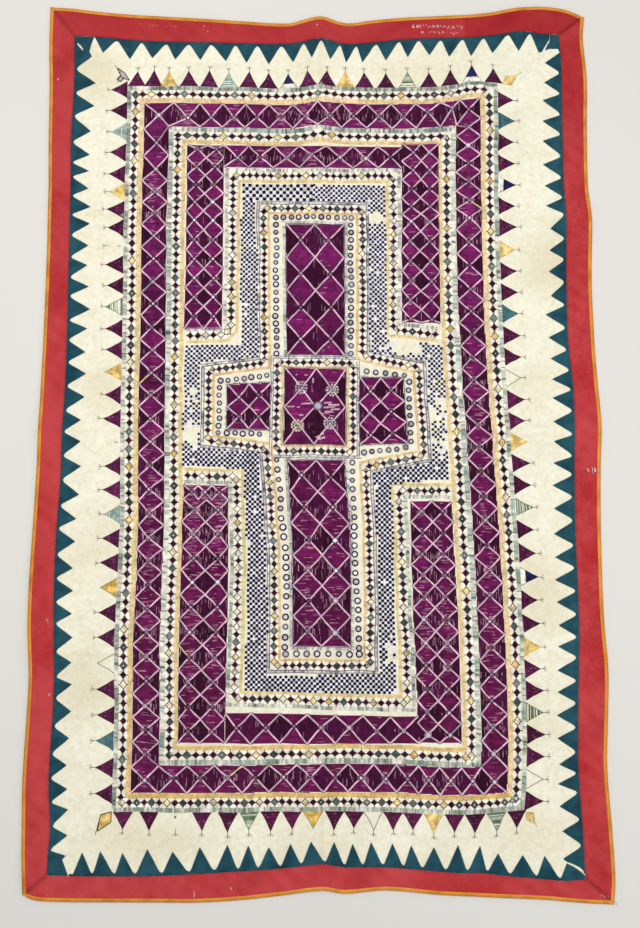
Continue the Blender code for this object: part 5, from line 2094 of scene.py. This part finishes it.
def gold_tints(name):
    """Function that gives the stitches of a gold band their uneven colours."""
    gold, cream = tint_of("gold_floss"), tint_of("peach_floss")
    deep = shade_of("old_gold")
    creamy, depth = GOLD_SHARES[name]

    def tints(middle, rng):
        x, y = middle[:, 0], middle[:, 1]
        share = np.clip(creamy + 0.3 * mottle(x, y, 150, 61), 0, 1)
        low = 0.35 * ramp(y, *DEEP_GOLD_FROM) if name == "outer_left" else 0.0
        dark = np.clip(depth + low + 0.12 * mottle(x, y, 90, 65), 0, 1)
        shade = 1 + 0.08 * rng.standard_normal(len(middle)) + 0.06 * mottle(x, y, 40, 62)
        tint = blend_tints(gold, cream, share)
        tint = tint + (deep - tint) * dark[:, None]
        return np.clip(tint * shade[:, None], 0, 1)

    return tints


def gold_bands(material):
    """Gold bands of two rows of slanting stitches that meet like a plait."""
    rng = draws("gold_bands")
    pitch = millimetres("stitch", "fill_pitch")
    batch = Stitches()
    for _, (outer, inner), _, name, _ in frame_lines():
        middle = (outer + inner) / 2
        tints = gold_tints(name)
        for first, last, slant in ((outer, middle, 0.5), (middle, inner, -0.5)):
            band_stitches(batch, first, last, pitch * 1.15, slant, pitch * 0.72, 0.0, tints,
                          rng)
    return sewn(batch, "gold_bands", material)


def plain_tints(name):
    """Function that gives a plain line its mottled white, grey-green and faded teal."""
    code, pale = PLAIN_COATS[name]
    deep, white = shade_of(code), tint_of("white_floss")

    def tints(middle, rng):
        x, y = middle[:, 0], middle[:, 1]
        share = np.clip(pale + 0.42 * mottle(x, y, 70, 63) + 0.42 * mottle(x, y, 13, 64)
                        + 0.08 * rng.standard_normal(len(middle)), 0, 1)
        worn = mottle(x, y, 8, 66) + 0.5 * mottle(x, y, 60, 67) > 0.85
        return blend_tints(deep, white, share * 0.92) * np.where(worn, 0.42, 1)[:, None]

    return tints


def edged(batch, line, tint, rng):
    """Thin dark line of long stitches along the edge of a plain line."""
    places, steps = even_points(line, 13.0, ends=False)
    shade = rng.uniform(0.6, 1.7, len(places))[:, None]
    batch.add(places - steps * 6.6, places + steps * 6.6, 1.0, 0.4, tint * shade)


def plain_lines(material):
    """Plain grey-green lines beside the frames and round the inner panels."""
    rng = draws("plain_lines")
    pitch = millimetres("stitch", "fill_pitch")
    batch = Stitches()
    dusk = shade_of("dusk")
    for _, _, (outer, inner), name, _ in frame_lines():
        band_stitches(batch, outer, inner, pitch * 1.15, 0.08, pitch * 0.74, 0.0,
                      plain_tints(name), rng)
        if name in ("cross", "centre"):
            for line in (outer, inner):
                edged(batch, line, dusk, rng)
    for number, outline in enumerate(block_outlines()):
        if number < FIRST_PANEL:
            continue
        near, far, arm_far = PANEL_LINE
        inner = offset_line(outline, near, closed=True)
        outer = offset_line(outline, arm_far if number in ARM_BLOCKS else far, closed=True)
        band_stitches(batch, ringed(outer), ringed(inner), pitch * 1.2, 0.35, pitch * 0.66,
                      0.0, plain_tints("panel"), rng)
        edged(batch, ringed(inner), dusk, rng)
    return sewn(batch, "plain_lines", material)


def counted_squares(material):
    """Checked ground of small navy and white squares, worn away in places."""
    rng = draws("counted_squares")
    size = millimetres("stitch", "square_size")
    navy, white = tint_of("navy_floss"), shade_of("cool_white")
    (left, right), (top, bottom) = CHECK_SPAN
    fine_x, fine_y = np.meshgrid(np.arange(left, right, size), np.arange(top, bottom, size))
    wide_x, wide_y = np.meshgrid(*(np.arange(*span) for span in COARSE_CHECKS))
    coarse = np.repeat([False, True], [fine_x.size, wide_x.size])
    x, y = np.append(fine_x, wide_x), np.append(fine_y, wide_y)
    dark_one = np.append(np.indices(fine_x.shape).sum(0), np.indices(wide_x.shape).sum(0))
    points = np.stack([x + 1.4 * np.sin(y / 83), y + 1.2 * np.sin(x / 97)], axis=-1)
    kept = inside(points, np.array(CHECK_OUTSIDE, float))
    kept &= coarse | (x > COARSE_EDGE[0]) | (y > COARSE_EDGE[1])
    kept &= ~inside(points, np.array(CHECK_INSIDE, float))
    dark = (dark_one % 2 == 0)[kept]
    spread = np.where(coarse, COARSE_SIZE, 1.0) * np.where(
        y > LOWER_CHECKS, np.where(dark_one % 2 == 0, *LOWER_SIZES), 1.0)
    points, spread = points[kept], spread[kept]
    gone = rng.uniform(0, 1, len(points)) < patches(WORN_CHECKS, points[:, 0], points[:, 1])
    gone |= rng.uniform(0, 1, len(points)) < 0.02
    points, dark, spread = points[~gone], dark[~gone], spread[~gone]
    shade = np.clip(1 + 0.2 * rng.standard_normal(len(points)), 0.6, 1.7)
    tints = np.where(dark[:, None], navy * shade[:, None],
                     white * np.clip(shade, 0.9, 1.0)[:, None])
    points = points + rng.uniform(-0.25, 0.25, points.shape)
    return placed(points, "counted_squares", square_tree(), material,
                  rng.uniform(-0.12, 0.12, len(points)),
                  spread * np.where(dark, *CHECK_SIZES) * rng.uniform(0.93, 1.07, len(points)),
                  0.35, np.clip(tints, 0, 1))


# ---------------------------------------------------------------- leaves and small motifs

LEAF_TINTS = {
    "purple": ("4A0D32", "77265F"), "gold": ("E6C878", "F0DCA0"), "grey": ("93A8A0", "B4C4BC"),
    "teal": ("3D6A72", "7FA0A4"), "navy": ("1B1A45", "3A3A78"), "green": ("5A6E58", "8FA38A"),
    "dark_gold": ("E5C060", "F2D68A"), "worn": ("5A3A50", "A58A94"),
    "outline": ("6B5A48", "8A7A62"), "star": ("4A3A48", "B4A8BC"),
}

# Share of the rows that is gone from the leaves of some kinds.
LOST_ROWS = {"green": 0.35, "grey": 0.12, "outline": 1.0, "worn": 1.0}


def leaf_rows(side, tip, reach):
    """Ends of the level rows of one leaf, and how far out each lies."""
    outs = np.arange(0.9, reach - 0.5, LEAF_PITCH)
    spire = np.array(LEAF_SPIRE)
    half = np.interp(outs / reach, spire[:, 0], spire[:, 1]) * LEAF_HALF_BASE
    return (field_points(side, tip - half, -outs), field_points(side, tip + half, -outs),
            outs)


def leaf(batch, side, tip, reach, kind, rng):
    """One leaf in satin stitch, or its outline alone, or what wear has left of it."""
    first, second = (shade_of(code) for code in LEAF_TINTS[kind])
    starts, stops, outs = leaf_rows(side, tip, reach)
    count = len(outs)
    share = np.clip(rng.uniform(0, 0.6) + 0.25 * rng.standard_normal(count), 0, 1)
    tints = blend_tints(first, second, share)
    if kind == "navy":
        white = tint_of("white_floss")
        tints = np.where((outs < reach * 0.3)[:, None], white, tints)
    kept = np.ones(count, bool)
    if kind in LOST_ROWS:
        kept = rng.uniform(0, 1, count) > LOST_ROWS[kind]
    if kept.any():
        batch.add(starts[kept], stops[kept], 1.2, rng.uniform(0, 0.12, kept.sum()),
                  tints[kept])
    if kind == "purple":
        picked = rng.integers(1, max(2, count - 6), 4)
        place = starts[picked] + (stops - starts)[picked] * rng.uniform(0.15, 0.85, (4, 1))
        batch.add(place - (1.7, 0.2), place + (1.7, 0.2), 0.9, 0.25,
                  shade_of("rose_fleck") * rng.uniform(0.6, 1.0, (4, 1)))
    dark = tint_of("dark_floss")
    edge = {"purple": dark * 0.8, "gold": first * 0.75, "navy": first,
            "dark_gold": shade_of("brown")}.get(kind, first)
    if kind == "worn":
        spots = starts[4:7] * 0.5 + stops[4:7] * 0.5
        batch.add(spots - (1.6, 0), spots + (1.6, 0), 1.0, 0.2, edge)
        return
    tip_point = field_points(side, tip, -reach)[None]
    base = field_points(side, np.array([tip - LEAF_HALF_BASE, tip + LEAF_HALF_BASE]), -0.3)
    for rim, foot in ((starts, base[:1]), (stops, base[1:])):
        line = np.concatenate([foot, rim[::3], tip_point])
        batch.add(line[:-1], line[1:], 0.8, 0.3, edge)


def forked_stem(batch, side, tip, reach, rng):
    """Thin forked stem beyond a leaf's tip."""
    tint = shade_of("dusty_plum") * rng.uniform(0.85, 1.5)
    length = rng.uniform(13, 16)
    lean = rng.uniform(-1.2, 1.2)
    fork = reach + length * 0.5
    foot = field_points(side, tip, -(reach - 1))
    split = field_points(side, tip + lean * 0.5, -fork)
    for along, out in ((lean, length), (lean - rng.uniform(5, 7), length * 0.86),
                       (lean + rng.uniform(5, 7), length * 0.86)):
        end = field_points(side, tip + along, -(reach + out))
        batch.add([split], [end], 0.62, 0.35, tint)
    batch.add([foot], [split], 0.7, 0.35, tint)


def leaf_places():
    """Each leaf's side, tip and reach, its kind and whether it has a forked stem."""
    for side, rows in LEAVES.items():
        for number, (tip,) in enumerate(spaced(rows)):
            kind, stem = ODD_LEAVES[side].get(number, ("purple", 1))
            yield side, tip, LEAF_REACH + uneven(number + 5, 2.0), kind, stem


def field_leaves(material):
    """Leaves round the field, with a different one at every third place."""
    rng = draws("field_leaves")
    batch = Stitches()
    for side, tip, reach, kind, _ in leaf_places():
        leaf(batch, side, tip, reach, kind, rng)
    for outline, kind, stem in LOZENGES:
        outline = np.array(outline, float)
        first, second = (shade_of(code) for code in LEAF_TINTS[kind])
        starts, stops = fill_lines(outline, 0.8, 2.6 if kind == "star" else 1.8)
        tints = blend_tints(first, second, rng.uniform(0, 1, len(starts)))
        batch.add(starts, stops, 0.9 if kind == "star" else 1.2, 0.0, tints)
        edge = shade_of("brown") if kind != "gold" else first * 0.7
        batch.add(outline, np.roll(outline, -1, axis=0), 0.8 if kind == "gold" else 1.5,
                  0.3, edge)
        batch.add([outline[0]], [stem], 0.7, 0.3, edge)
    return sewn(batch, "field_leaves", material)


def forked_stems(material):
    """Forked stems beyond the leaves' tips."""
    rng = draws("forked_stems")
    batch = Stitches()
    for side, tip, reach, _, stem in leaf_places():
        if stem:
            forked_stem(batch, side, tip, reach, rng)
    return sewn(batch, "forked_stems", material)


# ---------------------------------------------------------------- plain sewing

def hem_stitches(material, outlines):
    """Small stitches that hold down the teeth, their edge crossed by each one."""
    rng = draws("hem_stitches")
    thread = shade_of("deep_teal")
    batch = Stitches()
    for outline in outlines:
        places, steps = even_points(ringed(outline), 6.0, ends=False)
        across = sideways(steps)
        lean = steps * rng.uniform(-0.4, 0.4, len(steps))[:, None]
        tints = thread * rng.uniform(0.7, 1.6, len(places))[:, None]
        batch.add(places - (across + lean) * 1.1, places + (across + lean) * 1.1, 0.42,
                  0.95, tints)
    return sewn(batch, "hem_stitches", material, free=False)


def edge_stitches(material):
    """Running stitches along the tape and along the seam of the border."""
    rng = draws("edge_stitches")
    batch = Stitches()
    for side in SIDES:
        for line, inset, height, step, shade in (
                (edge_points, BINDING_WIDTH - 1.6, 2.35, 7.0, "burnt_orange"),
                (seam_points, -2.4, 1.85, 6.5, "dark_red")):
            path = side_line(side, line, inset, 120)
            places, steps = even_points(path, step, ends=False)
            places = places + rng.uniform(-0.3, 0.3, places.shape)
            tints = shade_of(shade) * rng.uniform(0.75, 1.35, len(places))[:, None]
            batch.add(places - steps * 1.7, places + steps * 1.7, 0.4, height, tints)
    return sewn(batch, "edge_stitches", material, free=False)


# Repairs and stray threads: first end, second end, number of stitches, width, colour.
MENDS = (
    ((916, 36), (1042, 40), 46, 5.0, "F3E9E4"), ((930, 52), (1030, 55), 20, 4.0, "EFDCD8"),
    ((23, 186), (28, 189), 3, 3.0, "EFE3D8"), ((386, 41), (391, 44), 3, 2.5, "F2E8E0"),
    ((395, 54), (400, 57), 3, 2.5, "F2E8E0"), ((543, 34), (548, 37), 3, 2.5, "F0E6DE"),
    ((673, 37), (678, 39), 3, 2.5, "F0E6DE"), ((36, 1528), (41, 1533), 3, 2.5, "F0E6DE"),
    ((45, 1698), (50, 1702), 3, 2.5, "F0E6DE"), ((474, 2128), (482, 2132), 4, 2.5, "F0E6DE"),
    ((1319, 1158), (1341, 1158), 9, 9.0, "F4EEE6"), ((1314, 2133), (1340, 2137), 8, 3.0,
                                                    "E7A9A4"),
    ((200, 38), (330, 44), 14, 3.0, "E59A9C"), ((1290, 700), (1292, 800), 12, 3.0, "D9777C"),
)
STRAY_THREADS = (
    (((1349, 2146), (1353, 2149), (1356, 2152), (1355, 2156)), "C98A3A"),
    (((56, 2146), (59, 2151), (57, 2156), (60, 2159)), "E08A1E"),
    (((391, 2136), (393, 2143), (392, 2150)), "F4EEE6"),
)
CORNER_SLITS = (((70, 92), (84, 108), 5.0),)


def mends(material):
    """Darning, repairs, stray threads and the pale slit in one corner."""
    rng = draws("mends")
    batch = Stitches()
    for first, second, count, width, code in MENDS:
        first, second = np.array(first, float), np.array(second, float)
        step = (second - first) / np.linalg.norm(second - first)
        across = sideways(step)
        places = first + (second - first) * rng.uniform(0, 1, count)[:, None]
        places = places + across * rng.uniform(-0.8, 0.8, count)[:, None] * width
        half = across[None] * rng.uniform(0.3, 0.6, count)[:, None] * width
        lean = step[None] * rng.uniform(0.4, 1.6, count)[:, None]
        shade = rng.uniform(0.85, 1.0, count)[:, None]
        batch.add(places - half - lean, places + half + lean, 0.55, 1.95,
                  shade_of(code) * shade)
    for points, code in STRAY_THREADS:
        line = np.array(points, float)
        batch.add(line[:-1], line[1:], 0.5, 2.2, colour(code))
    cream = shade_of("warm_cream")
    for first, second, width in CORNER_SLITS:
        first, second = np.array(first, float), np.array(second, float)
        stitched_cord(batch, first, second, width, 1.8, 1.5, cream, rng)
    return sewn(batch, "mends", material, free=False)


# ---------------------------------------------------------------- operators

class AddToothStrips(Operator):
    """Saw-tooth strips beside the border, with their hem stitches"""

    bl_idname = "quilt.add_tooth_strips"
    bl_label = "Saw-tooth strips"

    def execute(self, context):
        """Make the four strips."""
        cloth = settings("cloth")
        material = cotton_finish("teal_cotton", cloth.teeth_colour, cloth.teeth_faded,
                                 [0.6 * c for c in cloth.teeth_colour], 0.0009, 0.3)
        outlines = []
        for side in SIDES:
            piece, outline, depth = tooth_strip(side, material)
            dress(piece, "sawtooth", "sawtooth_" + side)
            length, area = outline_size(outline)
            outlines.append(outline)
        dress(hem_stitches(finish("sewing_thread"), outlines), "sawtooth")
        return {"FINISHED"}


class AddBorders(Operator):
    """Red border strips between the saw-tooth strips and the tape"""

    bl_idname = "quilt.add_borders"
    bl_label = "Border strips"

    def execute(self, context):
        """Make the four strips."""
        cloth = settings("cloth")
        # The deep red also paints the shade along the strips' edges.
        material = cotton_finish("red_cotton", cloth.border_colour, cloth.border_faded,
                                 [0.68 * c for c in cloth.border_colour], 0.0009, 0.3)
        for side in SIDES:
            piece, outline = border_strip(side, material)
            dress(piece, "border", "border_" + side)
            length, area = outline_size(outline)
        return {"FINISHED"}


class AddTapes(Operator):
    """Folded edge tapes along the four sides, and the running stitches beside them"""

    bl_idname = "quilt.add_tapes"
    bl_label = "Edge tapes"

    def execute(self, context):
        """Make the four tapes."""
        cloth = settings("cloth")
        # The dark brown-orange paints the shade on the tape's outer side, as well as its stains.
        material = cotton_finish("orange_cotton", cloth.tape_colour, cloth.tape_faded,
                                 (0.33, 0.12, 0.02), 0.0008, 0.3)
        section = tape_section(cloth.tape_thickness)
        for side in SIDES:
            piece, path = edge_tape(side, material, section,
                                    millimetres("cloth", "strip_step"))
            dress(piece, "binding", "binding_" + side)
            length = float(step_lengths(path).sum())
        curve = section.data
        bpy.data.objects.remove(section)
        bpy.data.curves.remove(curve)
        dress(edge_stitches(finish("sewing_thread")), "binding")
        return {"FINISHED"}


class AddSatin(Operator):
    """Satin stitching of the lattices, in bright and dark cells"""

    bl_idname = "quilt.add_satin"
    bl_label = "Satin cells"

    def execute(self, context):
        """Make the stitches of every cell as one piece."""
        dress(satin_cells(finish("silk_floss")), "ground_cloth")
        return {"FINISHED"}


class AddCords(Operator):
    """Pale cords of the lattices"""

    bl_idname = "quilt.add_cords"
    bl_label = "Lattice cords"

    def execute(self, context):
        """Make the cords as one piece."""
        dress(lattice_cords(finish("cotton_floss")), "ground_cloth")
        return {"FINISHED"}


class AddMirrors(Operator):
    """Mirrors and the stitched rims that hold them"""

    bl_idname = "quilt.add_mirrors"
    bl_label = "Mirrors"

    def execute(self, context):
        """Make the discs and their rims."""
        dress(mirror_discs(finish("mirror_glass")), "ground_cloth")
        dress(mirror_rims(finish("cotton_floss")), "ground_cloth")
        return {"FINISHED"}


class AddChains(Operator):
    """Frames of small diamonds with white scallops on both sides"""

    bl_idname = "quilt.add_chains"
    bl_label = "Diamond chains"

    def execute(self, context):
        """Make the diamonds and the scallops."""
        dress(chain_diamonds(finish("silk_floss")), "ground_cloth")
        dress(chain_scallops(finish("cotton_floss")), "ground_cloth")
        return {"FINISHED"}


class AddBands(Operator):
    """Gold plaited bands and plain grey lines beside the chains"""

    bl_idname = "quilt.add_bands"
    bl_label = "Gold bands and lines"

    def execute(self, context):
        """Make the bands and the lines."""
        dress(gold_bands(finish("gold_floss")), "ground_cloth")
        dress(plain_lines(finish("cotton_floss")), "ground_cloth")
        return {"FINISHED"}


class AddSquares(Operator):
    """Counted ground of navy and white squares"""

    bl_idname = "quilt.add_squares"
    bl_label = "Counted squares"

    def execute(self, context):
        """Make the squares as one piece."""
        dress(counted_squares(finish("counted_floss")), "ground_cloth")
        return {"FINISHED"}


class AddLeaves(Operator):
    """Leaves round the field with their forked stems"""

    bl_idname = "quilt.add_leaves"
    bl_label = "Leaves"

    def execute(self, context):
        """Make the leaves and the stems."""
        dress(field_leaves(finish("silk_floss")), "ground_cloth")
        dress(forked_stems(finish("cotton_floss")), "ground_cloth")
        return {"FINISHED"}


class AddMends(Operator):
    """Darning, repairs and stray threads"""

    bl_idname = "quilt.add_mends"
    bl_label = "Mends"

    def execute(self, context):
        """Make the repairs as one piece."""
        dress(mends(finish("cotton_floss")), "border")
        return {"FINISHED"}


class AddGround(Operator):
    """Pale ground cloth under all the stitching"""

    bl_idname = "quilt.add_ground"
    bl_label = "Ground cloth"

    def execute(self, context):
        """Make the cloth, after the pieces that are stitched on it."""
        cloth = settings("cloth")
        # The stain colour also paints the shade along the storage creases.
        material = cotton_finish("pale_cotton", cloth.ground_colour,
                                 tuple(min(1.0, 1.08 * c) for c in cloth.ground_colour),
                                 cloth.ground_stain_and_shade, 0.0010, 0.35)
        piece = dress(ground_cloth(material), "ground_cloth", "ground_cloth")
        return {"FINISHED"}


def area_light(name, place, size, power, tint):
    """Soft square light that faces the middle of the quilt."""
    data = bpy.data.lights.new(name, "AREA")
    data.size = size
    data.energy = power
    data.color = tint
    away = np.array(place) / np.linalg.norm(place)
    side = np.cross((0.0, 1.0, 0.0), away)
    side /= np.linalg.norm(side)
    up = np.cross(away, side)
    turn = Matrix((side, up, away)).transposed().to_4x4()
    linked(name, data).matrix_world = Matrix.Translation(place) @ turn


# Floor, half its width and how far it lies under the quilt, and the camera's place in
# metres and turn in degrees.
FLOOR_REACH = 6
FLOOR_GAP = 0.0004
CAMERA_PLACE = (0.0145, -0.3055, 2.1503)
CAMERA_TURN = (6.033, 0.166, 0.676)


class AddStage(Operator):
    """Plain pale floor, soft studio light and the camera"""

    bl_idname = "quilt.add_stage"
    bl_label = "Floor, light and camera"

    def execute(self, context):
        """Make the floor, the lights, the world and the camera."""
        stage = settings("stage")
        mesh = bpy.data.meshes.new("floor")
        mesh.from_pydata([(x * FLOOR_REACH, y * FLOOR_REACH, -FLOOR_GAP)
                          for x, y in ((-1, -1), (1, -1), (1, 1), (-1, 1))], [], [(0, 1, 2, 3)])
        floor = linked("floor", mesh)
        material, tree, shader, place = start_material("floor_paint", 0.85)
        dark = tuple(0.97 * c for c in stage.floor_colour)
        tint = mixed(tree, noise(tree, place, 0.4), dark, tuple(stage.floor_colour))
        tree.links.new(tint, shader.inputs["Base Color"])
        mesh.materials.append(material)

        area_light("broad_light", (-0.6, 0.8, 3.3), 2.2, stage.key_power, (1.0, 0.985, 0.96))
        area_light("low_light", (2.6, -0.6, 1.5), 1.4, stage.fill_power, (0.96, 0.98, 1.0))
        world = bpy.data.worlds.new("studio")
        world.use_nodes = True
        background = world.node_tree.nodes["Background"]
        background.inputs["Color"].default_value = (0.95, 0.97, 1.0, 1.0)
        background.inputs["Strength"].default_value = stage.world_strength
        bpy.context.scene.world = world

        data = bpy.data.cameras.new("camera")
        data.sensor_fit = "VERTICAL"
        data.sensor_height = 24.0
        data.lens = stage.focal
        data.clip_start = 0.05
        camera = linked("camera", data)
        camera.location = CAMERA_PLACE
        camera.rotation_euler = tuple(math.radians(a) for a in CAMERA_TURN)
        bpy.context.scene.camera = camera
        bpy.context.scene.view_settings.view_transform = "Standard"
        return {"FINISHED"}


class QuiltPanel(Panel):
    """Sidebar panel with the quilt's settings and pieces"""

    bl_idname = "VIEW3D_PT_ralli_quilt"
    bl_label = "Ralli quilt"
    bl_space_type = "VIEW_3D"
    bl_region_type = "UI"
    bl_category = "Quilt"

    def draw(self, context):
        """List the settings and a button for each piece."""
        for name, group in SETTINGS.items():
            box = self.layout.box()
            for label in group.__annotations__:
                box.prop(settings(name), label)
        for operator in OPERATORS:
            self.layout.operator(operator.bl_idname)


SETTINGS = {"cloth": ClothSettings, "stitch": StitchSettings, "stage": StageSettings}
OPERATORS = (AddStage, AddTapes, AddBorders, AddToothStrips, AddSatin, AddCords,
             AddMirrors, AddChains, AddBands, AddSquares, AddLeaves, AddMends, AddGround)
CLASSES = (*SETTINGS.values(), *OPERATORS, QuiltPanel)


def register():
    """Register the classes and give the scene its settings."""
    for item in CLASSES:
        bpy.utils.register_class(item)
    for name, group in SETTINGS.items():
        setattr(bpy.types.Scene, "quilt_" + name, PointerProperty(type=group))


def unregister():
    """Take the settings and the classes away again."""
    for name in SETTINGS:
        delattr(bpy.types.Scene, "quilt_" + name)
    for item in reversed(CLASSES):
        bpy.utils.unregister_class(item)


def main():
    """Build every piece in order."""
    register()
    for operator in OPERATORS:
        group, name = operator.bl_idname.split(".")
        getattr(getattr(bpy.ops, group), name)()


if __name__ == "__main__":
    main()
